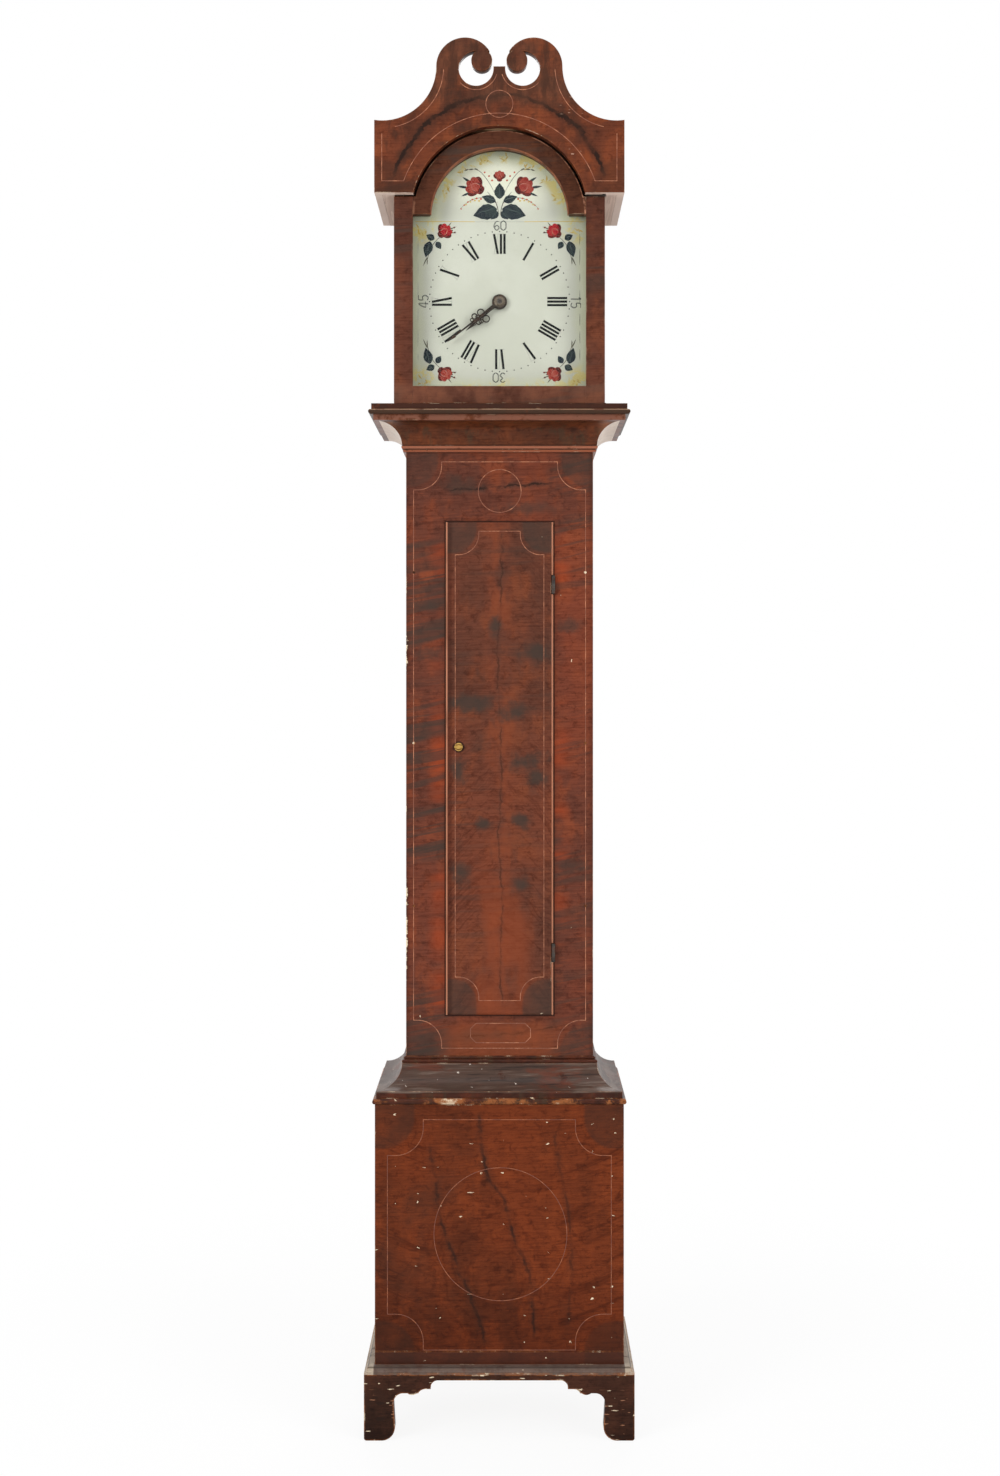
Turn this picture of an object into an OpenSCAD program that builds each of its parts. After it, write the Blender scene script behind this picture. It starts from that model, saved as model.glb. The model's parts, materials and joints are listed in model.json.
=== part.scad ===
// Tall case clock with a swan-neck pediment, a break-arch hood door, a painted dial
// and a thirty-hour wooden movement that strikes the hours on a bell.
// Millimetres. The origin is on the floor, in the middle of the clock's footprint.
// X runs to the viewer's right, -Y is the front and Z is up.

/* [Waist] */
// Width of the waist over its sides
waist_w = 302; // [290:1:316]
// Depth of the waist from its front to the back of the clock
waist_d = 195; // [190:1:215]
// Height of the waist that shows between its two mouldings
waist_h = 975; // [940:5:1010]
// Thickness of the boards of the front frames
frame_t = 19; // [17:0.5:21]
// Thickness of the side boards of the waist and the base
side_t = 16; // [13:0.5:17]
// Thickness of the backboard
back_t = 12; // [9:0.5:14]

/* [Trunk door] */
// Width of the trunk door over its lips
door_w = 173.4; // [166:0.2:178]
// Height of the trunk door over its lips
door_h = 796; // [740:2:830]
// Height of the door's lower edge above the base moulding
door_rise = 66; // [55:1:80]
// How far the door's lip laps over the frame
lip = 4; // [3:0.5:5]
// Thickness of the lip in front of the frame
lip_t = 6; // [5:0.5:7]
// Distance from each end of the door to the middle of its hinge
hinge_inset = 101; // [60:1:140]
// Length of each hinge's knuckle
knuckle_l = 28; // [24:1:34]
// Radius of the hinge knuckles
knuckle_r = 3; // [2.6:0.1:3.4]
// Height of the knob above the door's lower edge
knob_rise = 433; // [380:1:480]

/* [Base] */
// Width of the base over its sides
base_w = 396; // [380:1:410]
// How far the front of the base stands in front of the waist
base_proud = 47; // [43:1:51]
// Height of the base's boards
base_h = 424; // [400:2:450]
// Height of the loose bottom rail of the base's front
bottom_rail_h = 31; // [24:1:40]
// Thickness of the base's floor
floor_t = 12; // [9:1:16]

/* [Bracket feet] */
// Height of the feet, up to the plinth moulding
foot_h = 104; // [101:1:110]
// How far the feet stand out from the base, on the front and on each side
foot_proud = 16; // [15:0.5:19]
// Thickness of the foot boards
foot_t = 19; // [16:0.5:22]
// Width of a foot at its widest
foot_w = 49; // [46:1:54]
// Height of the plinth moulding
plinth_h = 11; // [9:0.5:14]
// Side of the square glue blocks behind the feet
block_w = 22; // [18:1:24]

/* [Mouldings] */
// Height of the moulding between base and waist
base_cap_h = 68; // [64:1:74]
// How far the base moulding's nose stands out from the base
nose = 4; // [3:0.5:6]
// Height of the moulding under the hood
waist_cap_h = 71; // [69:1:76]
// How far the moulding under the hood stands out from the waist
waist_cap_proud = 57; // [54:0.5:60]

/* [Hood] */
// Width of the glass that shows in the hood door
sight_w = 275.6; // [270:0.2:280]
// Play between the waist's sides and the hood's, which slide over them
hood_play = 3.5; // [3:0.1:4]
// Radius of the arched top of the glass that shows
sight_r = 108.9; // [104:0.1:113]
// Width of the hood door's arched rail
arch_w = 28.6; // [25:0.1:30]
// Width of the hood door's bottom rail
bottom_w = 27.5; // [24:0.5:32]
// Height of the arch's centre above the hood's lower edge
arch_rise = 301; // [296:1:306]
// Thickness of the hood door
hood_door_t = 19; // [17:0.5:21]
// Thickness of the hood's side boards
hood_side_t = 14; // [12:0.5:15]
// Thickness of the mask board behind the hood door
mask_t = 8.4; // [7:0.2:10]
// Thickness of the glass
glass_t = 2; // [1.6:0.1:3]
// How far the hood's top box stands out from its sides
box_proud = 30.5; // [27:0.5:34]
// Depth of the hood's top box, from the front of the scroll board
box_d = 206; // [195:1:220]
// Height of the hood's top box
box_h = 116; // [112:1:120]
// Thickness of the scroll board
scroll_t = 16; // [14:0.5:18]
// How far the scroll board stands in front of the hood door
scroll_proud = 12; // [10:0.5:13]
// Gap round the hood door
door_gap = 3; // [2.6:0.1:3.4]
// Thickness of the hood's roof and fascia boards
thin_t = 12; // [10:0.5:13]

/* [Swan-neck pediment] */
// Radius of the round head of each swan neck
head_r = 45.9; // [44:0.1:48]
// Distance from the middle of the clock to the centre of each head
head_x = 54.5; // [53:0.1:58]
// Radius of the hollow between a neck and the box's corner
hollow_r = 86; // [83:0.5:88]
// Radius of the round opening inside each neck
eye_hole_r = 27.7; // [26:0.1:28.5]
// Radius of the volute that turns into the opening
volute_r = 16.7; // [15.5:0.1:17.5]
// Half the gap between the two volutes
volute_gap = 11.2; // [11:0.1:13]

/* [Dial and hands] */
// Height of the dial's centre above the hood's lower edge
dial_rise = 170; // [166:1:174]
// How far the dial board reaches behind the mask, all round the glass
dial_lap = 8; // [6.5:0.1:9]
// Thickness of the dial board
dial_t = 8; // [6:0.5:9]
// Length of the minute hand from the centre
minute_l = 106; // [100:1:112]
// Length of the hour hand from the centre
hour_l = 71; // [64:1:76]
// Minutes past the hour that the hands show
shown_minutes = 38.7; // [0:0.1:59.9]
// Whole hours that the hands show
shown_hours = 7; // [0:1:11]

/* [Movement] */
// Half the width of the movement's plates
plate_hw = 80; // [76:1:86]
// Thickness of the movement's plates
plate_t = 10; // [8:0.5:12]
// Clear distance between the plates
plate_gap = 70; // [70:0.5:74]
// Height of the plates
plate_h = 263; // [262:1:268]
// Room for the motion work between the dial and the front plate
motion_room = 23; // [22:0.5:25]
// Thickness of the seat board
seat_t = 18; // [14:1:20]
// Radius of the pivots
pivot_r = 2; // [1.6:0.1:2.4]
// Radius of the wooden arbors
arbor_r = 5; // [4.5:0.1:5.3]
// Running clearance of every pivot and pin, on the radius
run_gap = 0.05; // [0.03:0.01:0.08]
// Radius of the cord drums
drum_r = 36; // [33:0.5:37]
// Length of the cord drums
drum_l = 26; // [24:0.5:27]
// Thickness of the wheels
wheel_t = 6; // [5:0.5:6.5]
// Side play of the arbors between the plates
end_play = 0.4; // [0.3:0.1:0.6]

/* [Pendulum and weights] */
// Distance from the pendulum's pivot to the middle of its bob
pendulum_l = 1002; // [985:1:1010]
// Radius of the bob
bob_r = 45; // [40:1:50]
// Thickness of the bob
bob_t = 22; // [18:1:24]
// Radius of each weight
weight_r = 30; // [26:0.5:31]
// Height of each weight's can
weight_h = 200; // [170:5:230]
// Height that the weights climb when they are wound
weight_travel = 1070; // [900:10:1080]
// Radius of the weight cords
cord_r = 1.5; // [1:0.1:1.8]

/* [Bell] */
// Radius of the bell's mouth
bell_r = 42; // [38:0.5:44]
// Thickness of the bell's wall
bell_t = 3; // [2.4:0.1:3.4]

/* [Hidden] */
$fn = 48;

// Planes from front to back. The feet, the base and the waist share one back plane.
depth = waist_d + base_proud + foot_proud;
back_y = depth / 2;
waist_y = back_y - waist_d;
base_y = waist_y - base_proud;
foot_y = base_y - foot_proud;
inner_back_y = back_y - back_t;

// Half widths
base_hw = base_w / 2;
foot_hw = base_hw + foot_proud;
waist_hw = waist_w / 2;
base_side_proud = base_hw - waist_hw;

// Heights, from the floor up
base_top = foot_h + base_h;
waist_z = base_top + base_cap_h;
waist_cap_z = waist_z + waist_h;
hood_z = waist_cap_z + waist_cap_h;

// The waist's boards run down inside the base, and its sides carry the seat board
waist_tail = 48;
waist_foot_z = base_top - waist_tail;
cheek_rise = 12;
seat_z = hood_z + cheek_rise + seat_t;

// Trunk door and its opening
door_z = waist_z + door_rise;
door_top = door_z + door_h;
opening_hw = door_w / 2 - lip;
opening_z = door_z + lip;
opening_top = door_top - lip;
leaf_t = 1;
hinge_gap = 3.4;
door_body_l = opening_hw - 4;
door_body_r = opening_hw - hinge_gap;
door_back_y = waist_y + 13;
pin_r = 1.3;
trunk_axis = [door_w / 2 + 0.3, waist_y - lip_t + 1];
trunk_hinges = [door_z + hinge_inset, door_top - hinge_inset];
knob_at = [-door_w / 2 + 20.7, door_z + knob_rise];

// Hood, dial and hood door
hood_hw = waist_hw + hood_play + hood_side_t;
stile_w = hood_hw - sight_w / 2;
door_face_y = base_y + scroll_proud;
door_rear_y = door_face_y + hood_door_t;
hood_front_y = door_rear_y + 0.6;
mask_back_y = hood_front_y + mask_t;
arch_z = hood_z + arch_rise;
door_arch_r = sight_r + arch_w;
cut_r = door_arch_r + door_gap + 1;
seam = max(door_arch_r, sight_w / 2) + 0.7;
box_z = arch_z + 35;
box_top = box_z + box_h;
roof_z = box_top - thin_t;
box_hw = hood_hw + box_proud;
scroll_back_y = base_y + scroll_t;
box_back_y = base_y + box_d;
hood_door_z = hood_z + door_gap;
shoulder_z = box_z - door_gap;
sight_z = hood_door_z + bottom_w;
spring_z = arch_z + 4;
glass_lap = 6;
glass_y = door_face_y + 11;
strap_t = 1.2;
plate_back = 20;
strap_l = stile_w - 4.7;
pivot_plate_l = stile_w - 0.7;
pivot_pin_r = 1.5;
hood_axis = [hood_hw - 1.5, door_face_y - 0.5];
dial_z = hood_z + dial_rise;
dial_y = mask_back_y + 2;
dial_back_y = dial_y + dial_t;
mask_lap = 3.2;

// Movement: planes
front_plate_y = dial_back_y + motion_room;
train_y = front_plate_y + plate_t;
back_plate_y = train_y + plate_gap;
movement_back = back_plate_y + plate_t;
plate_top = seat_z + plate_h;

// Movement: tooth counts and modules
great_n = 56;
strike_n = 48;
leaves_n = 8;
centre_n = 60;
third_n = 56;
escape_leaves_n = 7;
cannon_n = 12;
minute_n = 36;
minute_leaves_n = 10;
hour_n = 40;
pin_wheel_n = 48;
fly_leaves_n = 7;
escape_n = 30;
strike_pins_n = 13;
great_m = 1.9;
strike_m = 2.17;
centre_m = 1.4;
third_m = 1.2;
cannon_m = 1.25;
hour_m = 1.2;
pin_wheel_m = 1.3;
escape_r = 27;

// Movement: places of the arbors, seen from the front
function mesh_l(a, b, m) = (a + b) * m / 2;
function polar(c, l, a) = c + l * [cos(a), sin(a)];
function bearing(a, b) = atan2(b[1] - a[1], b[0] - a[0]);
great_bearing = 214.6;
third_bearing = 123;
pin_bearing = 82.5;
fly_bearing = 120;
hammer_in = 18;
hammer_drop = 55;
centre_at = [0, dial_z];
great_at = polar(centre_at, mesh_l(great_n, leaves_n, great_m), great_bearing);
third_at = polar(centre_at, mesh_l(centre_n, leaves_n, centre_m), third_bearing);
escape_l = mesh_l(third_n, escape_leaves_n, third_m);
escape_at = polar(third_at, escape_l, acos(-third_at[0] / escape_l));
verge_at = escape_at + [0, escape_r * sqrt(2)];
strike_at = [-great_at[0], great_at[1]];
pin_wheel_at = polar(strike_at, mesh_l(strike_n, leaves_n, strike_m), pin_bearing);
fly_at = polar(pin_wheel_at, mesh_l(pin_wheel_n, fly_leaves_n, pin_wheel_m), fly_bearing);
minute_at = [-mesh_l(cannon_n, minute_n, cannon_m), dial_z];
hammer_at = [plate_hw - hammer_in, plate_top - hammer_drop];

// Movement: where each wheel's front face lies, measured from the front plate's back
drum_gap = 0.4;
flange_t = 2;
flange_h = 3;
great_off = 3;
time_drum_off = great_off + wheel_t + drum_gap;
strike_drum_off = 6;
strike_great_off = strike_drum_off + drum_l + drum_gap;
third_off = time_drum_off + drum_l + 2.6;
pin_wheel_off = strike_great_off + wheel_t + 3.6;
escape_t = 4;
escape_off = third_off + wheel_t + 3;
strike_pin_l = 4;
centre_off = pin_wheel_off + wheel_t + strike_pin_l + 1;

// Hands and their pipes
hour_pipe_r = 6;
cannon_r = 4;
dial_hole_r = 8.5;
hour_hand_y = dial_y - 5.5;
minute_hand_y = dial_y - 9.5;
hand_t = 1.5;
push_fit = 0.02;
minute_angle = 90 - 6 * shown_minutes;
hour_angle = 90 - 30 * (shown_hours + shown_minutes / 60);

// Weights and pendulum
cord_x = -great_at[0] + drum_r + cord_r + 0.3;
weight_eye_z = seat_z - seat_t - 16 - weight_travel;
time_line_y = train_y + time_drum_off + drum_l / 2;
strike_line_y = train_y + strike_drum_off + drum_l / 2;
pendulum_y = movement_back + 16;
bob_z = verge_at[1] - pendulum_l;
crutch_y = movement_back + 5;

// Bell
bell_z = plate_top + 42;
bell_h = 34;
bell_y = train_y + 35;

// Colours
paint_red = [0.47, 0.21, 0.15];
paint_dark = [0.32, 0.16, 0.12];
raw_pine = [0.72, 0.58, 0.44];
oak = [0.60, 0.45, 0.28];
iron = [0.20, 0.19, 0.18];
brass_gold = [0.70, 0.55, 0.25];
dial_white = [0.86, 0.87, 0.80];

// A plain board between two x, two y and two z values
module board(x, y, z)
    translate([x[0], y[0], z[0]])
        cube([x[1] - x[0], y[1] - y[0], z[1] - z[0]]);

// The same shape on both sides of the clock
module both_sides() {
    children();
    mirror([1, 0, 0]) children();
}

// A front view of a shape, cut from a board that reaches from y0 back to y1
module front_cut(y0, y1)
    translate([0, y1, 0]) rotate([90, 0, 0]) linear_extrude(y1 - y0) children();

// A side view of a shape, with its x to the back, cut from a board between x0 and x1
module side_cut(x0, x1)
    translate([x0, 0, 0]) rotate([90, 0, 90]) linear_extrude(x1 - x0) children();

// A round bar along Y
module rod_y(at, y0, y1, r)
    translate([at[0], y1, at[1]]) rotate([90, 0, 0]) cylinder(h = y1 - y0, r = r);

// A moulding mitred round the front and both sides of a carcass. Its two profiles, of the
// front and of the sides, are drawn with x as the distance out and y as the height.
module mitred_moulding(hw, y0, y1, proud, side_proud) {
    outer_hw = hw + side_proud;
    intersection() {
        translate([-outer_hw, y0, 0]) rotate([90, 0, 90])
            linear_extrude(2 * outer_hw) mirror([1, 0]) children(0);
        linear_extrude(3000) polygon([
            [-outer_hw, y0 - proud], [outer_hw, y0 - proud], [hw, y0], [-hw, y0]
        ]);
    }
    both_sides() intersection() {
        translate([hw, y1, 0]) rotate([90, 0, 0]) linear_extrude(y1 - y0 + proud) children(1);
        linear_extrude(3000) polygon([
            [hw, y0], [outer_hw, y0 - proud], [outer_hw, y1], [hw, y1]
        ]);
    }
}

// Bracket feet. Half of the outline of a cut bracket, with its outer edge at x = 0.
toe_r = 21;
ankle_in = 2.3;
ankle_z = 59.5;
corner_r = 15.3;
drop_r = 11.7;
apron_corner_r = 11.7;
apron_z = foot_h - 8.8;
step_z = apron_z - 13.8;
drop_x = foot_w + 27.3;
drop_z = apron_z - 11.3;
heel_r = 4;
step_r = 12;
step_x = drop_x + 20.3;
flat_from = step_x + 20.4;

module bracket_half(length) {
    ankle_x = foot_w - ankle_in + corner_r;
    difference() {
        square([length, foot_h]);
        translate([flat_from, -1]) square([length, apron_z + 1]);
        translate([flat_from, apron_z - apron_corner_r]) circle(apron_corner_r);
        translate([step_x, -1]) square([flat_from - step_x, step_z + 1]);
        translate([step_x, step_z - step_r]) circle(step_r);
        translate([ankle_x, -1]) square([step_x - step_r + 1 - ankle_x, ankle_z + corner_r + 1]);
        translate([ankle_x, -1]) square([step_x - ankle_x, step_z - step_r + 1]);
        translate([ankle_x, ankle_z]) circle(corner_r);
        difference() {
            polygon([
                [foot_w - toe_r, -1], [foot_w - toe_r, toe_r], [foot_w, toe_r],
                [foot_w - ankle_in, ankle_z], [ankle_x, ankle_z], [ankle_x, -1]
            ]);
            translate([foot_w - toe_r, toe_r]) circle(toe_r);
        }
        difference() {
            translate([-1, -1]) square(heel_r + 1);
            translate([heel_r, heel_r]) circle(heel_r);
        }
    }
    translate([drop_x, drop_z]) difference() {
        circle(drop_r);
        translate([-drop_r, 0]) square([2 * drop_r, drop_r + 1]);
    }
}

module foot_apron_front() {
    color(paint_dark) front_cut(foot_y, foot_y + foot_t) {
        translate([-foot_hw, 0]) bracket_half(foot_hw);
        translate([foot_hw, 0]) mirror([1, 0]) bracket_half(foot_hw);
    }
}

module foot_brackets() {
    color(paint_dark) both_sides() side_cut(foot_hw - foot_t, foot_hw) intersection() {
        union() {
            translate([foot_y, 0]) bracket_half(depth / 2);
            translate([back_y, 0]) mirror([1, 0]) bracket_half(depth / 2);
        }
        translate([foot_y + foot_t, 0]) square([depth - foot_t, foot_h]);
    }
}

module glue_blocks() {
    color(raw_pine) both_sides() {
        x = [foot_hw - foot_t - block_w, foot_hw - foot_t];
        board(x, [foot_y + foot_t, foot_y + foot_t + block_w], [0, foot_h]);
        board(x, [back_y - block_w, back_y], [0, foot_h]);
    }
}

// Plinth moulding: a square edge, then a hollow and a round that rise to a flat top
module plinth_profile() {
    edge_h = 2.6;
    r = (plinth_h - edge_h) / 2;
    difference() {
        square([foot_proud, plinth_h]);
        translate([foot_proud, edge_h + r]) circle(r);
        translate([foot_proud - r, edge_h + r]) square(2 * r);
        translate([foot_proud - 2 * r, edge_h + r]) difference() {
            square(2 * r);
            circle(r);
        }
    }
}

module plinth_moulding() {
    color(paint_dark) translate([0, 0, foot_h])
        mitred_moulding(base_hw, base_y, back_y, foot_proud, foot_proud) {
            plinth_profile();
            plinth_profile();
        }
}

module base_bottom_rail() {
    color(paint_red)
        board([-base_hw, base_hw], [base_y, base_y + frame_t], [foot_h, foot_h + bottom_rail_h]);
}

module base_front_panel() {
    color(paint_red)
        board([-base_hw, base_hw], [base_y, base_y + frame_t], [foot_h + bottom_rail_h, base_top]);
}

module base_sides() {
    color(paint_red) both_sides()
        board([base_hw - side_t, base_hw], [base_y + frame_t, back_y], [foot_h, base_top]);
}

module base_floor() {
    color(raw_pine) board(
        [side_t - base_hw, base_hw - side_t],
        [base_y + frame_t, inner_back_y], [foot_h, foot_h + floor_t]);
}

// One wide board closes the base between its sides and covers the waist's back edges
module backboard() {
    head_play = 1;
    color(raw_pine) front_cut(inner_back_y, back_y) {
        translate([side_t - base_hw, foot_h]) square([2 * (base_hw - side_t), base_h]);
        translate([-waist_hw, base_top - 1]) square([waist_w, hood_z - base_top + 1]);
        translate([head_play - waist_hw, hood_z - 1])
            square([waist_w - 2 * head_play, roof_z - 7 - hood_z + 1]);
    }
}

// Packing strips tie the waist's boards to the inside of the base
module waist_packing() {
    z = [waist_foot_z, base_top];
    color(raw_pine) {
        board([side_t - base_hw, base_hw - side_t], [base_y + frame_t, waist_y], z);
        both_sides() board([waist_hw, base_hw - side_t], [waist_y, inner_back_y], z);
    }
}

// Moulding between base and waist: a nosing, a fillet, a deep cove and two small beads
module base_cap_profile(proud) {
    nose_r = 4.5;
    fillet_w = proud - 6;
    fillet_top = 20;
    bead_z = base_cap_h - 11;
    cove_r = bead_z - fillet_top;
    core_w = 6.2;
    cove_share = (fillet_w - 1.8 - core_w) / cove_r;
    square([proud - nose_r, 2 * nose_r + 0.1]);
    translate([proud - nose_r, nose_r]) circle(nose_r);
    difference() {
        translate([0, 2 * nose_r]) square([fillet_w, bead_z - 2 * nose_r]);
        translate([fillet_w - 1.8, bead_z]) scale([cove_share, 1]) circle(cove_r);
        translate([fillet_w - 1.8, fillet_top]) square([3, cove_r + 1]);
    }
    translate([0, bead_z - 0.1]) square([4, 5.8]);
    translate([4, bead_z + 2.8]) circle(2.8);
    translate([0, bead_z + 5.6]) square([1.6, 5.4]);
    translate([1.6, bead_z + 8.3]) circle(2);
}

module base_cap_moulding() {
    color(paint_dark) translate([0, 0, base_top])
        mitred_moulding(waist_hw, waist_y, back_y, base_proud + nose, base_side_proud + nose) {
            base_cap_profile(base_proud + nose);
            base_cap_profile(base_side_proud + nose);
        }
}

// Moulding under the hood: a fillet, a bead, a cove, a square and a nosing
module waist_cap_profile() {
    bead_z = 7.6;
    cove_z = 10.6;
    cove_r = waist_cap_h - 26 - cove_z;
    cove_in = 6.4;
    proud = waist_cap_proud;
    square([4.6, cove_z]);
    translate([4.6, bead_z]) circle(2.8);
    difference() {
        translate([0, cove_z - 0.1]) square([cove_in + cove_r, cove_r + 0.2]);
        translate([cove_in + cove_r, cove_z]) circle(cove_r);
    }
    translate([0, cove_z + cove_r]) square([proud - 7.6, 9.1]);
    translate([0, waist_cap_h - 17]) square([proud - 4, 8.1]);
    translate([proud - 4, waist_cap_h - 13]) circle(4);
    translate([0, waist_cap_h - 9]) square([proud - 4.6, 9]);
}

module waist_cap_moulding() {
    color(paint_dark) translate([0, 0, waist_cap_z])
        mitred_moulding(waist_hw, waist_y, back_y, waist_cap_proud, waist_cap_proud) {
            waist_cap_profile();
            waist_cap_profile();
        }
}

// Front frame of the waist. The right stile is let in for the hinge leaves.
module waist_stiles() {
    y = [waist_y, waist_y + frame_t];
    color(paint_red) {
        board([-waist_hw, -opening_hw], y, [waist_foot_z, hood_z]);
        difference() {
            board([opening_hw, waist_hw], y, [waist_foot_z, hood_z]);
            for (z = trunk_hinges) hinge_mortise(z);
        }
    }
}

module hinge_mortise(z) {
    half = knuckle_l / 2;
    board([opening_hw - 1, trunk_axis[0] + 1.2], [waist_y - 1, waist_y + leaf_t], [z - half, z + half]);
}

module waist_rails() {
    y = [waist_y, waist_y + frame_t];
    color(paint_red) {
        board([-opening_hw, opening_hw], y, [waist_foot_z, opening_z]);
        board([-opening_hw, opening_hw], y, [opening_top, hood_z]);
    }
}

module waist_sides() {
    color(paint_red) both_sides() board(
        [waist_hw - side_t, waist_hw], [waist_y + frame_t, inner_back_y],
        [waist_foot_z, seat_z - seat_t]);
}

// Cranked butt hinges. The frame leaf lies under the door's lip and turns into the opening.
module knuckle(z0, z1)
    translate([trunk_axis[0], trunk_axis[1], z0]) cylinder(h = z1 - z0, r = knuckle_r);

module knuckle_web(z0, z1, y_end)
    board([trunk_axis[0] - 1.2, trunk_axis[0] + 1.2], [trunk_axis[1], y_end], [z0, z1]);

module trunk_hinge_frame_leaves() {
    third = knuckle_l / 3;
    half = knuckle_l / 2;
    color(iron) for (z = trunk_hinges) {
        board([opening_hw, trunk_axis[0] + 1.2], [waist_y, waist_y + leaf_t], [z - half, z + half]);
        board([opening_hw - leaf_t, opening_hw], [waist_y, waist_y + 12], [z - half, z + half]);
        for (end = [[z - half, z - half + third], [z + half - third, z + half]]) difference() {
            union() {
                knuckle(end[0], end[1]);
                knuckle_web(end[0], end[1], waist_y + leaf_t);
            }
            translate([trunk_axis[0], trunk_axis[1], end[0] - 1]) cylinder(h = third + 2, r = pin_r);
        }
        translate([trunk_axis[0], trunk_axis[1], z - half - 1]) cylinder(h = knuckle_l + 2, r = pin_r);
    }
}

module trunk_hinge_door_leaves() {
    third = knuckle_l / 3;
    half = knuckle_l / 2;
    play = 0.2;
    color(iron) for (z = trunk_hinges) {
        board([door_body_r - leaf_t, trunk_axis[0] + 1.2], [waist_y - 0.3 - leaf_t, waist_y - 0.3],
            [z - third / 2 + play, z + third / 2 - play]);
        board([door_body_r - leaf_t, door_body_r], [waist_y - 0.3 - leaf_t, waist_y + 11],
            [z - half, z + half]);
        difference() {
            union() {
                knuckle(z - third / 2 + play, z + third / 2 - play);
                knuckle_web(z - third / 2 + play, z + third / 2 - play, waist_y - 0.3);
            }
            translate([trunk_axis[0], trunk_axis[1], z - third])
                cylinder(h = 2 * third, r = pin_r + run_gap);
        }
    }
}

// Trunk door: a lipped board with a thumbnail moulding round its face
module thumbnail(length) {
    r = lip_t - 1.5;
    difference() {
        square([length, lip_t]);
        for (side = [0, 1]) translate([side * length, 0]) mirror([side, 0]) difference() {
            translate([-1, -1]) square([r + 1, r + 1]);
            translate([r, r]) circle(r);
        }
    }
}

module trunk_door() {
    color(paint_red) difference() {
        union() {
            translate([0, waist_y - lip_t, 0]) intersection() {
                translate([-door_w / 2, 0, door_z - 1]) linear_extrude(door_h + 2) thumbnail(door_w);
                translate([-door_w, 0, door_top]) rotate([0, 90, 0])
                    linear_extrude(2 * door_w) thumbnail(door_h);
            }
            board([-door_body_l, door_body_r], [waist_y - 0.5, door_back_y],
                [opening_z + 2, opening_top - 2]);
        }
        for (z = trunk_hinges) {
            half = knuckle_l / 2 + 1.5;
            board([trunk_axis[0] - knuckle_r - 0.6, door_w], [waist_y - lip_t - 1, waist_y + 1],
                [z - half, z + half]);
            board([door_body_r - leaf_t, door_w], [waist_y - 0.3 - leaf_t, waist_y + 11],
                [z - half + 1.5, z + half - 1.5]);
        }
        rod_y(knob_at, waist_y - lip_t - 1, door_back_y + 1, 3 + run_gap);
    }
}

// Knob, spindle and turn button in one. The button hangs down when the door is free.
module trunk_latch() {
    tongue_y = waist_y + frame_t + 0.6;
    knob_y = waist_y - lip_t;
    color(brass_gold) {
        rod_y(knob_at, knob_y - 1.4, knob_y - 0.2, 6.5);
        rod_y(knob_at, knob_y - 5, knob_y - 1, 3);
        translate([knob_at[0], knob_y - 5, knob_at[1]]) rotate([90, 0, 0])
            scale([1.4, 1, 1]) cylinder(h = 1.5, r = 4.2);
        translate([knob_at[0], knob_y - 6.5, knob_at[1]]) rotate([90, 0, 0])
            scale([1.4, 1, 1]) cylinder(h = 2.5, r1 = 4.8, r2 = 3);
    }
    color(iron) {
        rod_y(knob_at, knob_y - 1, tongue_y, 3);
        front_cut(tongue_y - 0.01, tongue_y + 2.4) {
            translate(knob_at) circle(7);
            translate(knob_at + [-5, -30]) square([10, 30]);
            translate(knob_at + [0, -30]) circle(5);
        }
    }
}

// Hood. Its sides stand on the moulding and slide forward past the cheeks. The right one
// is let in for the lower pivot plate.
module hood_sides() {
    color(paint_red) difference() {
        both_sides() board([hood_hw - hood_side_t, hood_hw], [hood_front_y, back_y], [hood_z, roof_z]);
        board([hood_hw - hood_side_t - 1, hood_hw + 1], [hood_front_y - 1, hood_front_y + plate_back + 0.2],
            [hood_z - 1, hood_z + strap_t + 0.4]);
    }
}

// The arched opening of the door. The glass, the mask and the dial have the same shape,
// grown by a lap.
module arched_shape(grow) {
    hw = sight_w / 2 + grow;
    r = sight_r + grow;
    translate([-hw, sight_z - grow]) square([2 * hw, spring_z - sight_z + 2 * grow]);
    translate([0, arch_z]) intersection() {
        circle(r, $fn = 96);
        translate([-r, -1]) square([2 * r, r + 1]);
    }
}

module hood_mask() {
    hw = hood_hw - hood_side_t;
    color(paint_dark) front_cut(hood_front_y, mask_back_y) difference() {
        translate([-hw, hood_z]) square([2 * hw, roof_z - hood_z]);
        arched_shape(mask_lap);
    }
}

// Scroll board: the front of the top box and, in one piece with it, the two swan necks
module neck_outline() {
    head_z = box_top - 1.4 + hollow_r;
    plinth_hw = head_x - head_r + 0.7;
    hollow_x = head_x + head_r + hollow_r;
    hole_at = [head_x - 17.5, head_z - 3.1];
    volute_at = [hole_at[0] - 9, hole_at[1] + 13];
    difference() {
        union() {
            translate([0, box_z]) square([hollow_x, head_z - box_z]);
            translate([hollow_x - 1, box_z]) square([box_hw - hollow_x + 1, box_h + 1]);
            translate([head_x, head_z]) circle(head_r, $fn = 96);
        }
        translate([hollow_x, head_z]) circle(hollow_r, $fn = 96);
        translate([head_x, head_z]) difference() {
            translate([-head_x - 1, 0.01]) square([hollow_r + head_x, head_r]);
            circle(head_r, $fn = 96);
        }
        translate(hole_at) circle(eye_hole_r, $fn = 64);
        translate([plinth_hw, hole_at[1]]) square([eye_hole_r, eye_hole_r]);
        translate([-1, head_z + 0.4]) square([volute_gap + 1, head_r]);
    }
    intersection() {
        translate(volute_at) circle(volute_r, $fn = 64);
        translate([volute_gap, head_z - head_r]) square([2 * head_r, 2 * head_r]);
    }
}

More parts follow.
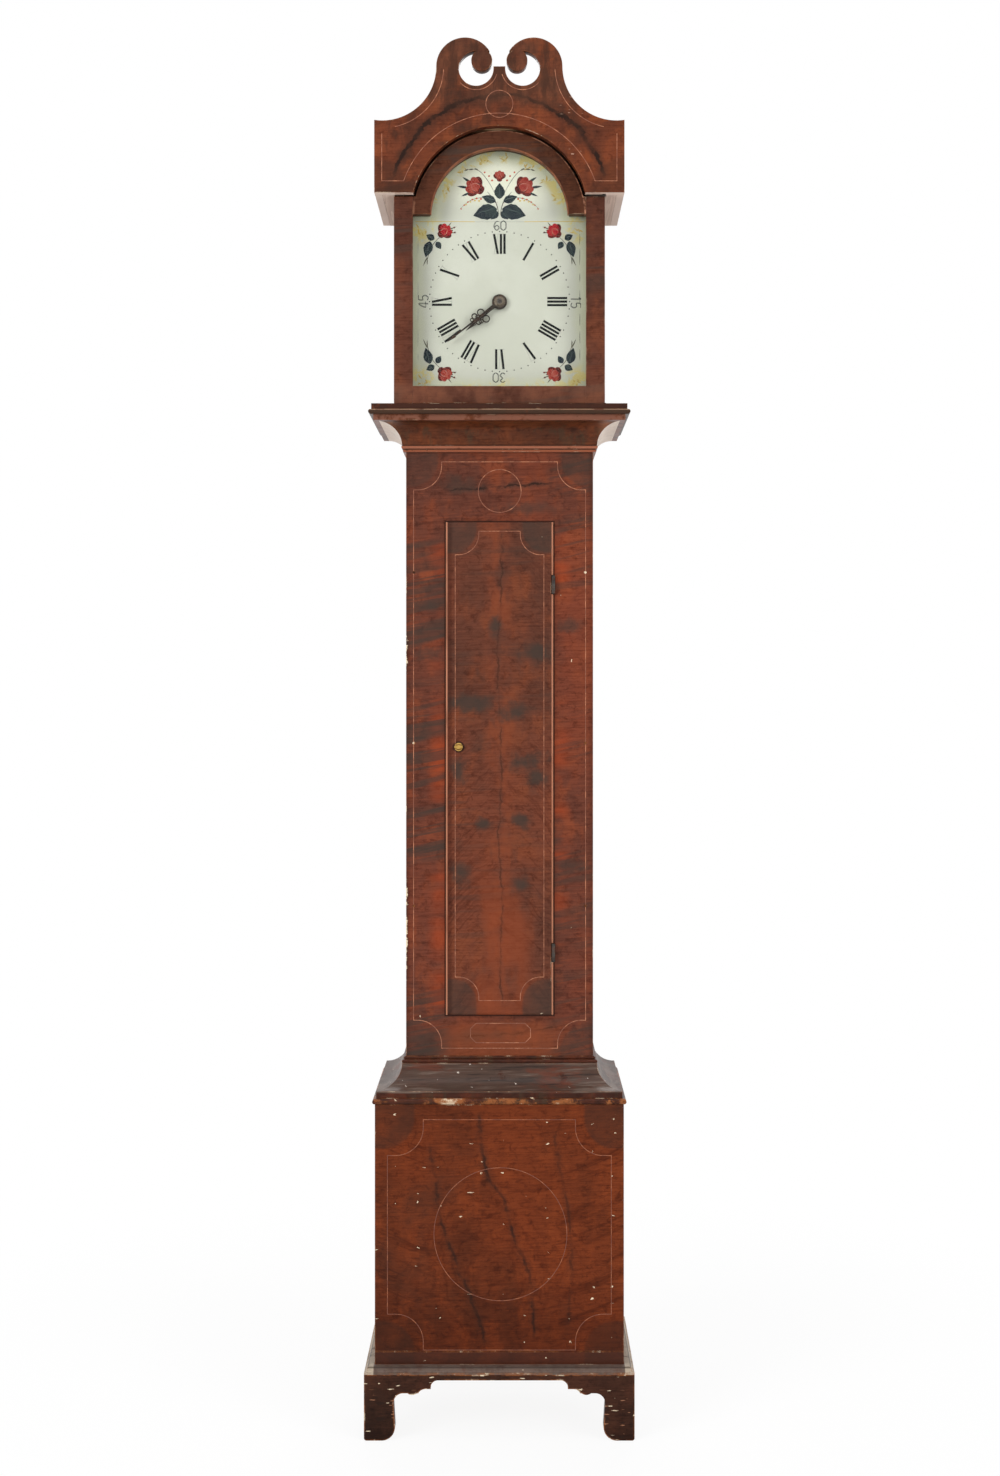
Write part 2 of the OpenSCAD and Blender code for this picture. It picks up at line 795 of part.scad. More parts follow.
module scroll_board() {
    color(paint_red) front_cut(base_y, scroll_back_y) difference() {
        both_sides_flat() neck_outline();
        translate([0, arch_z]) circle(cut_r, $fn = 128);
    }
}

module both_sides_flat() {
    children();
    mirror([1, 0]) children();
}

module hood_fascias() {
    color(paint_red) both_sides() board(
        [box_hw - thin_t, box_hw], [scroll_back_y, box_back_y], [box_z, box_top]);
}

module hood_soffits() {
    color(raw_pine) both_sides() board(
        [hood_hw, box_hw - thin_t], [scroll_back_y, box_back_y], [box_z, box_z + 8]);
}

module hood_roof() {
    color(raw_pine) {
        board([thin_t - box_hw, box_hw - thin_t], [scroll_back_y, box_back_y], [roof_z, box_top]);
        board([-hood_hw, hood_hw], [box_back_y, back_y], [roof_z, box_top]);
    }
}

// Pivot hinges at the door's front corner. The plates carry the pins, and the door's
// straps turn on them.
module corner_plate(x0, y1) {
    translate(hood_axis) circle(3);
    translate([x0, hood_axis[1]]) square([hood_axis[0] - x0, y1 - hood_axis[1]]);
}

module hood_pivot_plates() {
    color(iron) {
        translate([0, 0, hood_z + 0.2]) linear_extrude(strap_t)
            corner_plate(hood_hw - hood_side_t + 1, hood_front_y + plate_back);
        translate([hood_axis[0], hood_axis[1], hood_z + 0.3]) cylinder(h = door_gap - 0.4, r = pivot_pin_r);
        translate([0, 0, box_z - strap_t]) linear_extrude(strap_t)
            corner_plate(hood_hw - pivot_plate_l, scroll_back_y - 1);
        translate([hood_axis[0], hood_axis[1], shoulder_z + 0.1])
            cylinder(h = door_gap - 0.4, r = pivot_pin_r);
    }
}

module hood_door_straps() {
    color(iron) for (z = [hood_door_z - strap_t, shoulder_z])
        translate([0, 0, z]) linear_extrude(strap_t) difference() {
            corner_plate(hood_hw - strap_l, door_face_y + 8);
            translate(hood_axis) circle(pivot_pin_r + run_gap);
        }
}

// Hood door: two stiles, a bottom rail and an arched rail, rebated at the back for glass
module door_part() {
    difference() {
        front_cut(door_face_y, door_rear_y) difference() {
            children();
            arched_shape(0);
        }
        front_cut(glass_y - 0.1, door_rear_y + 1) arched_shape(glass_lap + 0.2);
    }
}

module hood_door_stiles() {
    color(paint_red) door_part() both_sides_flat()
        translate([seam, hood_door_z]) square([hood_hw - seam, shoulder_z - hood_door_z]);
}

module hood_door_bottom_rail() {
    color(paint_red) door_part()
        translate([-seam, hood_door_z]) square([2 * seam, bottom_w]);
}

module hood_door_arch_rail() {
    color(paint_red) door_part() {
        intersection() {
            translate([0, arch_z]) circle(door_arch_r, $fn = 96);
            translate([-door_arch_r, spring_z]) square([2 * door_arch_r, door_arch_r]);
        }
        translate([-seam, spring_z]) square([2 * seam, shoulder_z - spring_z]);
    }
}

module hood_door_glass() {
    color([0.8, 0.9, 0.9, 0.3]) front_cut(glass_y, glass_y + glass_t) arched_shape(glass_lap);
}

module dial() {
    peg_x = plate_hw - 12;
    color(dial_white) difference() {
        front_cut(dial_y, dial_back_y)
            arched_shape(dial_lap);
        rod_y(centre_at, dial_y - 1, dial_back_y + 1, dial_hole_r);
    }
    color(oak) for (x = [-peg_x, peg_x], z = [seat_z + 20, plate_top - 20])
        rod_y([x, z], dial_back_y, front_plate_y, 5);
}

module seat_board() {
    slot_w = 20;
    slot_l = 40;
    color(raw_pine) difference() {
        board([-waist_hw, waist_hw], [waist_y + frame_t + 2, movement_back + 4], [seat_z - seat_t, seat_z]);
        for (line = [[-cord_x, time_line_y], [cord_x, strike_line_y]])
            translate([line[0] - slot_w / 2, line[1] - slot_l / 2, seat_z - seat_t - 1])
                cube([slot_w, slot_l, seat_t + 2]);
    }
}

// Movement plates, with one running hole for each pivot
module plate_outline() {
    top_w = 2 * plate_hw - 50;
    polygon([
        [-plate_hw, seat_z], [plate_hw, seat_z], [plate_hw, plate_top - 25],
        [top_w / 2, plate_top], [-top_w / 2, plate_top], [-plate_hw, plate_top - 25]
    ]);
}

train_arbors = [great_at, third_at, escape_at, strike_at, pin_wheel_at, fly_at, hammer_at, verge_at];

module movement_front_plate() {
    color(oak) difference() {
        front_cut(front_plate_y, train_y) plate_outline();
        for (at = train_arbors) rod_y(at, front_plate_y - 1, train_y + 1, pivot_r + run_gap);
        rod_y(centre_at, front_plate_y - 1, train_y + 1, cannon_r + run_gap);
    }
    color(iron) rod_y(minute_at, front_plate_y - 17, front_plate_y, pivot_r);
}

module movement_back_plate() {
    color(oak) difference() {
        front_cut(back_plate_y, movement_back) plate_outline();
        for (at = concat(train_arbors, [centre_at]))
            rod_y(at, back_plate_y - 1, movement_back + 1, pivot_r + run_gap);
    }
}

module movement_pillars() {
    r = 5;
    x = plate_hw - r - 1;
    color(oak) for (side = [-x, x], z = [seat_z + 12, plate_top - 34])
        rod_y([side, z], train_y, back_plate_y, r);
}

// Wheels and leaves. The flanks follow an involute at three radii: root, pitch and tip.
pressure = 20;
function flank_swing(r, rp) =
    let (rb = rp * cos(pressure), a = acos(min(1, rb / max(r, rb))))
    (tan(a) - a * PI / 180) * 180 / PI;
function tooth_half(r, n, m, slack) =
    90 / n - slack * 90 / (PI * n * m) * 2
    + flank_swing(n * m / 2, n * m / 2) - flank_swing(r, n * m / 2);

// n teeth of module m, adding add and cutting ded modules, with a tooth's middle at start
module toothed(n, m, add, ded, start, slack = 0.25) {
    radii = [n * m / 2 - ded * m, n * m / 2, n * m / 2 + add * m];
    polygon([
        for (i = [0 : n - 1]) for (j = [-3, -2, -1, 1, 2, 3])
            let (r = radii[3 - abs(j)], a = start + i * 360 / n + sign(j) * tooth_half(r, n, m, slack))
            r * [cos(a), sin(a)]
    ]);
}

module wheel_teeth(n, m, start) toothed(n, m, 0.45, 1.25, start);
module leaf_teeth(n, m, start) toothed(n, m, 1, 0.7, start);

// A wheel at a place in the train, seen from the front
module at_arbor(at, y0, t)
    translate([at[0], y0 + t, at[1]]) rotate([90, 0, 0]) linear_extrude(t) children();

// The arbor between the plates, with a pivot in each
module arbor(at, r = 3) {
    color(iron) {
        rod_y(at, train_y + end_play, back_plate_y - end_play, r);
        rod_y(at, front_plate_y + 1, movement_back - 1, pivot_r);
    }
}

// Where a driver has a tooth on the line of centres, its follower has a gap
function gap_start(driver_at, follower_at, n) = bearing(follower_at, driver_at) + 180 / n;

module centre_arbor() {
    color(iron) {
        rod_y(centre_at, minute_hand_y - 2, back_plate_y - end_play, cannon_r);
        rod_y(centre_at, back_plate_y - 2, movement_back - 1, pivot_r);
    }
    color(oak) {
        at_arbor(centre_at, train_y + great_off - 1, wheel_t + 2)
            leaf_teeth(leaves_n, great_m, gap_start(great_at, centre_at, leaves_n));
        at_arbor(centre_at, train_y + centre_off, wheel_t)
            wheel_teeth(centre_n, centre_m, bearing(centre_at, third_at));
        at_arbor(centre_at, front_plate_y - 6, 5)
            leaf_teeth(cannon_n, cannon_m, bearing(centre_at, minute_at));
    }
}

// Hands. Each is drawn pointing along x and then turned to the time shown.
module ring(r, w) {
    difference() {
        circle(r);
        circle(r - w);
    }
}

module both_banks() {
    children();
    mirror([0, 1, 0]) children();
}

// A flat hand with a boss round its hole, two pairs of open loops and a long point. The
// loops lie at a share of its length.
module hand(length, boss, loop_share, loop_r, hole) {
    point_l = 16;
    loop_at = loop_share * length;
    small_r = 0.62 * loop_r;
    rim = 0.5;
    difference() {
        union() {
            cylinder(h = hand_t, r = boss);
            linear_extrude(hand_t) polygon([
                [0, 3], [loop_at, 1.5], [length - point_l, 1.1], [length - point_l, 2.6],
                [length, 0.25], [length, -0.25],
                [length - point_l, -2.6], [length - point_l, -1.1], [loop_at, -1.5], [0, -3]
            ]);
            both_banks() {
                translate([loop_at, loop_r + rim, 0]) linear_extrude(hand_t) ring(loop_r, 1.8);
                translate([loop_at + 1.4 * loop_r, small_r + rim, 0])
                    linear_extrude(hand_t) ring(small_r, 1.4);
            }
        }
        translate([0, 0, -1]) cylinder(h = hand_t + 2, r = hole);
    }
}

// Stands a shape drawn on the flat up against the dial, at the centre and turned by an angle
module on_dial(y, angle)
    translate([0, y, dial_z]) rotate([90, 0, 0]) rotate(angle) children();

module minute_hand() {
    collet_h = 1.5;
    hole = cannon_r + push_fit;
    color(iron) {
        on_dial(minute_hand_y + hand_t, minute_angle) hand(minute_l, 6.5, 0.44, 5, hole);
        on_dial(minute_hand_y, 0) difference() {
            cylinder(h = collet_h, r1 = 6, r2 = 5);
            translate([0, 0, -1]) cylinder(h = collet_h + 2, r = hole);
        }
    }
}

module hour_wheel() {
    pipe_end = hour_hand_y - 0.6;
    wheel_y = front_plate_y - 14;
    color(oak) difference() {
        union() {
            at_arbor(centre_at, wheel_y, 4)
                wheel_teeth(hour_n, hour_m, gap_start(minute_at, centre_at, hour_n));
            rod_y(centre_at, pipe_end, wheel_y + 5, hour_pipe_r);
        }
        rod_y(centre_at, pipe_end - 1, wheel_y + 6, cannon_r + run_gap);
    }
}

module hour_hand() {
    color(iron) on_dial(hour_hand_y + hand_t, hour_angle)
        hand(hour_l, 12.2, 0.48, 6.2, hour_pipe_r + push_fit);
}

module minute_wheel() {
    color(oak) difference() {
        union() {
            at_arbor(minute_at, front_plate_y - 5.5, 4)
                wheel_teeth(minute_n, cannon_m, gap_start(centre_at, minute_at, minute_n));
            at_arbor(minute_at, front_plate_y - 15.5, 10.1)
                leaf_teeth(minute_leaves_n, hour_m, bearing(minute_at, centre_at));
        }
        rod_y(minute_at, front_plate_y - 16, front_plate_y, pivot_r + run_gap);
    }
}

module great_wheel() {
    arbor(great_at, arbor_r);
    color(oak) at_arbor(great_at, train_y + great_off, wheel_t)
        wheel_teeth(great_n, great_m, bearing(great_at, centre_at));
}

module third_wheel() {
    arbor(third_at);
    color(oak) {
        at_arbor(third_at, train_y + centre_off - 1, wheel_t + 2)
            leaf_teeth(leaves_n, centre_m, gap_start(centre_at, third_at, leaves_n));
        at_arbor(third_at, train_y + third_off, wheel_t)
            wheel_teeth(third_n, third_m, bearing(third_at, escape_at));
    }
}

// Escape wheel with pointed teeth that lean forward
module escape_wheel() {
    root = escape_r - 4.5;
    pitch = 360 / escape_n;
    arbor(escape_at, 2.6);
    color(oak) at_arbor(escape_at, train_y + third_off - 1, wheel_t + 2)
        leaf_teeth(escape_leaves_n, third_m, gap_start(third_at, escape_at, escape_leaves_n));
    color(brass_gold) at_arbor(escape_at, train_y + escape_off, escape_t) difference() {
        polygon([
            for (i = [0 : escape_n - 1]) each [
                root * [cos(i * pitch), sin(i * pitch)],
                escape_r * [cos((i + 0.16) * pitch), sin((i + 0.16) * pitch)],
                escape_r * [cos((i + 0.24) * pitch), sin((i + 0.24) * pitch)],
                root * [cos((i + 0.5) * pitch), sin((i + 0.5) * pitch)]
            ]
        ]);
        for (i = [0 : 3]) rotate(45 + 90 * i) intersection() {
            ring(root - 4, root - 12);
            polygon([[0, 0], [30, -22], [30, 22]]);
        }
    }
}

// Verge: the anchor's two arms span the escape wheel, and the crutch behind the plates
// holds the pendulum rod in its fork
module verge() {
    clear = 3;
    fork_drop = 62;
    fork_z = verge_at[1] - fork_drop;
    arm = [escape_r + clear + 1, escape_r + clear + 6];
    arbor(verge_at, 2.6);
    color(iron) {
        at_arbor(verge_at, train_y + escape_off - 0.5, escape_t + 1) {
            circle(6);
            translate(escape_at - verge_at) {
                intersection() {
                    difference() {
                        circle(arm[1]);
                        circle(arm[0]);
                    }
                    polygon([[0, 0], [-50, 44], [50, 44]]);
                }
                both_sides_flat() rotate(45) translate([arm[0] - 1, -1]) square([4, 2.4]);
            }
        }
        rod_y(verge_at, movement_back - 2, crutch_y + 2, pivot_r);
        translate([0, crutch_y, fork_z]) cylinder(h = verge_at[1] - fork_z, r = 1.2);
        board([-5, 5], [crutch_y - 1.2, crutch_y + 1.2], [fork_z - 1.2, fork_z + 1.2]);
        both_sides()
            board([2.6, 5], [crutch_y, pendulum_y + 4], [fork_z - 1.2, fork_z + 1.2]);
    }
}

// The cock hangs over the verge's pivot and holds the suspension strip in its slit
module pendulum_cock() {
    z = verge_at[1];
    color(oak) difference() {
        union() {
            board([-12, 12], [movement_back, movement_back + 10], [z + 9, plate_top]);
            board([-12, 12], [pendulum_y - 7, pendulum_y + 7], [z - 3, plate_top]);
            board([-12, 12], [movement_back, pendulum_y + 7], [z + 9, plate_top]);
        }
        board([-1.1, 1.1], [pendulum_y - 8, pendulum_y + 8], [z - 4, z + 7]);
    }
}

module pendulum_rod() {
    z = verge_at[1];
    strip_l = 34;
    rod_r = 1.75;
    color(iron) {
        board([-0.25, 0.25], [pendulum_y - 4, pendulum_y + 4], [z - strip_l, z + 4]);
        board([-3, 3], [pendulum_y - 5, pendulum_y + 5], [z - strip_l - 8, z - strip_l]);
        translate([0, pendulum_y, bob_z - bob_r - 22])
            cylinder(h = z - strip_l - 4 - bob_z + bob_r + 22, r = rod_r);
        translate([0, pendulum_y, bob_z - bob_r - 10]) cylinder(h = 5, r = 6);
    }
}

module pendulum_bob() {
    edge = 4;
    rise = (bob_t - edge) / 2;
    face_r = (bob_r * bob_r + rise * rise) / (2 * rise);
    color(brass_gold) difference() {
        translate([0, pendulum_y, bob_z]) rotate([90, 0, 0]) rotate_extrude() intersection() {
            translate([0, bob_t / 2 - face_r]) circle(face_r, $fn = 360);
            translate([0, face_r - bob_t / 2]) circle(face_r, $fn = 360);
            translate([0, -bob_t]) square([bob_r, 2 * bob_t]);
        }
        translate([0, pendulum_y, bob_z - 2 * bob_r]) cylinder(h = 4 * bob_r, r = 1.8);
    }
}

// A drum runs loose on its wheel's arbor, between two flanges
module drum(at, y0) {
    color(oak) difference() {
        union() {
            rod_y(at, y0, y0 + drum_l, drum_r);
            rod_y(at, y0, y0 + flange_t, drum_r + flange_h);
            rod_y(at, y0 + drum_l - flange_t, y0 + drum_l, drum_r + flange_h);
        }
        rod_y(at, y0 - 1, y0 + drum_l + 1, arbor_r + run_gap);
    }
}

module time_drum() drum(great_at, train_y + time_drum_off);
module strike_drum() drum(strike_at, train_y + strike_drum_off);

// A weight is an iron can with a rolled rim, a domed top and an eye for the cord
module weight(x, y) {
    dome = 14;
    stem = 16;
    can_z = weight_eye_z - stem - dome - weight_h;
    color(iron) translate([x, y, can_z]) rotate_extrude() {
        difference() {
            square([weight_r, weight_h]);
            translate([weight_r, 6]) circle(1.5);
        }
        translate([0, weight_h]) intersection() {
            translate([0, dome / 2 - weight_r * weight_r / (2 * dome)])
                circle(weight_r * weight_r / (2 * dome) + dome / 2, $fn = 96);
            square([weight_r, dome]);
        }
        translate([0, weight_h + dome - 2]) square([2.5, stem + 2]);
        translate([0, weight_h + dome + stem - 5]) square([5, 5]);
    }
}

module time_weight() weight(-cord_x, time_line_y);
module strike_weight() weight(cord_x, strike_line_y);

module weight_cord(x, y, z1)
    color([0.75, 0.70, 0.58]) translate([x, y, weight_eye_z])
        cylinder(h = z1 - weight_eye_z, r = cord_r);

module time_cord() weight_cord(-cord_x, time_line_y, great_at[1]);
module strike_cord() weight_cord(cord_x, strike_line_y, strike_at[1]);

// The count wheel behind the plates turns once in twelve hours with the strike great wheel
module strike_great_wheel() {
    count_r = 34;
    arbor(strike_at, arbor_r);
    color(oak) at_arbor(strike_at, train_y + strike_great_off, wheel_t)
        wheel_teeth(strike_n, strike_m, bearing(strike_at, pin_wheel_at));
    color(iron) rod_y(strike_at, movement_back - 2, movement_back + 7, pivot_r);
    color(oak) at_arbor(strike_at, movement_back + 2, 4) difference() {
        circle(count_r, $fn = 96);
        for (hour = [1 : 12]) rotate(-(hour * (hour + 1) / 2) * 360 / 78)
            translate([count_r - 4, -0.9]) square([6, 1.8]);
    }
}

// The pin wheel's pins lift the hammer's tail
module pin_wheel() {
    pins_r = 26;
    arbor(pin_wheel_at);
    color(oak) {
        at_arbor(pin_wheel_at, train_y + strike_great_off - 1, wheel_t + 2)
            leaf_teeth(leaves_n, strike_m, gap_start(strike_at, pin_wheel_at, leaves_n));
        at_arbor(pin_wheel_at, train_y + pin_wheel_off, wheel_t)
            wheel_teeth(pin_wheel_n, pin_wheel_m, bearing(pin_wheel_at, fly_at));
    }
    color(iron) for (i = [0 : strike_pins_n - 1])
        rod_y(polar(pin_wheel_at, pins_r, 360 / strike_pins_n * (i + 0.5) + 85),
            train_y + pin_wheel_off + wheel_t - 1,
            train_y + pin_wheel_off + wheel_t + strike_pin_l, 1.3);
}

module fly() {
    blade_hw = 15;
    arbor(fly_at, 2.6);
    color(oak) at_arbor(fly_at, train_y + pin_wheel_off - 1, wheel_t + 2)
        leaf_teeth(fly_leaves_n, pin_wheel_m, gap_start(pin_wheel_at, fly_at, fly_leaves_n));
    color(iron) at_arbor(fly_at, train_y + 4, 28) rotate(20)
        translate([-blade_hw, -0.8]) square([2 * blade_hw, 1.6]);
}

module bar_to(a, b, y, r) {
    d = b - a;
    translate([a[0], y, a[1]]) rotate([0, atan2(d[0], d[1]), 0]) cylinder(h = norm(d), r = r);
}

module hammer() {
    tail_y = train_y + pin_wheel_off + wheel_t + strike_pin_l / 2 - 0.2;
    head_at = [bell_r + 9, bell_z + 5];
    arbor(hammer_at, 2.6);
    color(iron) {
        bar_to(hammer_at, head_at, bell_y, 1.4);
        bar_to(hammer_at, hammer_at + [-2, -11], tail_y, 1.2);
        translate([bell_r + 2.5, bell_y, head_at[1]]) rotate([0, 90, 0]) cylinder(h = 13, r = 6);
    }
}

module bell() {
    color(brass_gold) translate([0, bell_y, bell_z]) rotate_extrude() difference() {
        intersection() {
            translate([0, bell_h - bell_r]) circle(bell_r, $fn = 96);
            square([bell_r, bell_h]);
        }
        intersection() {
            translate([0, bell_h - bell_r]) circle(bell_r - bell_t, $fn = 96);
            translate([-1, -1]) square([bell_r, bell_h - bell_t + 1]);
        }
        square([3 + run_gap, bell_h + 1]);
    }
}

module bell_stand() {
    top = bell_z + bell_h;
    color(iron) {
        board([-6, 6], [bell_y - 6, movement_back], [plate_top, plate_top + 7]);
        translate([0, bell_y, plate_top + 6]) cylinder(h = top + 8 - plate_top - 6, r = 3);
        translate([0, bell_y, top + 0.1]) cylinder(h = 4, r = 6);
        translate([0, bell_y, top - bell_t - 4.7]) cylinder(h = 4, r = 6);
    }
}

foot_apron_front();
foot_brackets();
glue_blocks();
plinth_moulding();
base_bottom_rail();
base_front_panel();
base_sides();
base_floor();
backboard();
waist_packing();
base_cap_moulding();
waist_stiles();
waist_rails();
waist_sides();
waist_cap_moulding();
trunk_hinge_frame_leaves();
trunk_door();
trunk_hinge_door_leaves();
trunk_latch();
hood_sides();
hood_mask();
scroll_board();
hood_fascias();
hood_soffits();
hood_roof();
hood_pivot_plates();
hood_door_stiles();
hood_door_bottom_rail();
hood_door_arch_rail();
hood_door_glass();
hood_door_straps();
dial();
seat_board();
movement_front_plate();
movement_back_plate();
movement_pillars();
centre_arbor();
minute_hand();
hour_wheel();
hour_hand();
minute_wheel();
great_wheel();
third_wheel();
escape_wheel();
verge();
pendulum_cock();
pendulum_rod();
pendulum_bob();
time_drum();
time_weight();
time_cord();
strike_drum();
strike_weight();
strike_cord();
strike_great_wheel();
pin_wheel();
fly();
hammer();
bell();
bell_stand();
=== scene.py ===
import json
import math
import random

import bmesh
import bpy
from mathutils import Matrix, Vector

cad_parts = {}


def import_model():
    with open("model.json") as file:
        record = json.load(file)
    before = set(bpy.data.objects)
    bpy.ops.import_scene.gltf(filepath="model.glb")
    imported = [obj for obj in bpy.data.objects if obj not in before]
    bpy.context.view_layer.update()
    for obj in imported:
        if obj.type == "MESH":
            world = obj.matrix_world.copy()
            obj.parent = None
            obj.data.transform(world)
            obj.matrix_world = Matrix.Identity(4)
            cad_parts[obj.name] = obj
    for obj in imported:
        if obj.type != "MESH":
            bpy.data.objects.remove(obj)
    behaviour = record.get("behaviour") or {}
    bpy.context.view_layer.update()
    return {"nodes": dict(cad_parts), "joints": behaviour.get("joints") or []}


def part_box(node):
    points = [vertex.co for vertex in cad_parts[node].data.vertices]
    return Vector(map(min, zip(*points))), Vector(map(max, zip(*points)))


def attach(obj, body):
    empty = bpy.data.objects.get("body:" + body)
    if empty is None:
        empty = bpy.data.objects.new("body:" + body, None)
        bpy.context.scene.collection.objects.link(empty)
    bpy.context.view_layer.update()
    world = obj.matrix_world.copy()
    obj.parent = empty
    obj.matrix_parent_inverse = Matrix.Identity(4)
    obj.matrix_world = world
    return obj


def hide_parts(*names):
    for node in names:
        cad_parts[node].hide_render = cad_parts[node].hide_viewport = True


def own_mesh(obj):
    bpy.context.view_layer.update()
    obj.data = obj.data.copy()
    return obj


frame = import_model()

MM = 0.001
NODES = frame["nodes"]


# Places taken from the frame, in metres

def low(node):
    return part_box(node)[0]


def high(node):
    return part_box(node)[1]


def hinge_place(name):
    """Where a joint's axis passes, as x, y, z."""
    return next(Vector(j["pos_m"]) for j in frame["joints"] if j["name"] == name)


BASE_Y = low("base_front_panel").y
BASE_HW = high("base_front_panel").x
BASE_TOP = high("base_front_panel").z
WAIST_Y = low("waist_stiles").y
WAIST_HW = high("waist_stiles").x
WAIST_TOP = low("waist_cap_moulding").z
DOOR_Y = low("trunk_door").y
DOOR_HW = high("trunk_door").x
DOOR_Z = low("trunk_door").z
DOOR_TOP = high("trunk_door").z
HOOD_HW = high("hood_sides").x
BOX_HW = high("scroll_board").x
BOX_Z = low("scroll_board").z
DIAL_Y = low("dial").y
CENTRE = hinge_place("minute_turn")
ARCH_Z = CENTRE.z + 131 * MM
SIGHT_R = 108.9 * MM
SIGHT_HW = 137.8 * MM
SIGHT_Z = CENTRE.z - 139.5 * MM
ARCH_OUT_R = high("hood_door_arch_rail").z - ARCH_Z
KNOB = hinge_place("latch_turn")
BOARD = 16 * MM
HOOD_BOARD = 14 * MM


# Colours, as the photograph's screen values

def srgb(r, g, b):
    """A linear colour from screen values of 0 to 255."""
    def linear(v):
        v /= 255
        return v / 12.92 if v <= 0.04045 else ((v + 0.055) / 1.055) ** 2.4
    return (linear(r), linear(g), linear(b), 1.0)


def tint(colour):
    """Three screen values become a linear colour. A socket or a linear colour stays."""
    return srgb(*colour) if isinstance(colour, tuple) and len(colour) == 3 else colour


RED = (110, 50, 24)
ORANGE = (130, 60, 28)
DEEP = (86, 41, 22)
SMOKE = (58, 37, 28)
GREY_SMOKE = (60, 50, 44)
INK = (34, 22, 17)
WAIST_RED = (118, 60, 42)
WAIST_ORANGE = (136, 68, 42)
WAIST_DEEP = (95, 54, 42)
HOOD_RED = (102, 58, 43)
HOOD_ORANGE = (116, 64, 42)
HOOD_DEEP = (80, 46, 35)
MOULDING = (82, 40, 25)
MOULDING_DARK = (56, 37, 29)
# Dust with a painted sheen, for the plinth's top
DUST_AND_SHEEN = (112, 99, 90)
FOOT = (70, 41, 29)
FOOT_DARK = (44, 26, 18)
RUBBED = (150, 90, 50)
BARE = (224, 204, 174)
SOFFIT = (230, 205, 188)
PINE = (178, 144, 108)
PINE_DARK = (138, 104, 72)


def triple(value):
    return value if isinstance(value, tuple) else (value, value, value)


class Nodes:
    """A node tree that starts empty, with short ways to add to it."""

    def __init__(self, tree):
        self.tree = tree
        tree.nodes.clear()

    def put(self, socket, value):
        """Joins a socket to another, or sets its value."""
        if isinstance(value, bpy.types.NodeSocket):
            self.tree.links.new(value, socket)
        else:
            socket.default_value = value

    def add(self, kind, inputs, **settings):
        node = self.tree.nodes.new(kind)
        for key, value in settings.items():
            setattr(node, key, value)
        for key, value in inputs.items():
            self.put(node.inputs[key], value)
        return node

    def math(self, operation, a, b=0.0, c=0.0):
        return self.add("ShaderNodeMath", {0: a, 1: b, 2: c}, operation=operation).outputs[0]

    def sub(self, a, b):
        return self.math("SUBTRACT", a, b)

    def mul(self, a, b):
        return self.math("MULTIPLY", a, b)

    def plus(self, a, b):
        return self.math("ADD", a, b)

    def fma(self, a, b, c):
        return self.math("MULTIPLY_ADD", a, b, c)

    def below(self, a, b):
        return self.math("LESS_THAN", a, b)

    def above(self, a, b):
        return self.math("GREATER_THAN", a, b)

    def either(self, a, b):
        return self.math("MAXIMUM", a, b)

    def least(self, a, b):
        return self.math("MINIMUM", a, b)

    def absolute(self, a):
        return self.math("ABSOLUTE", a)

    def gap(self, a, b):
        """How far two values are apart."""
        return self.absolute(self.sub(a, b))


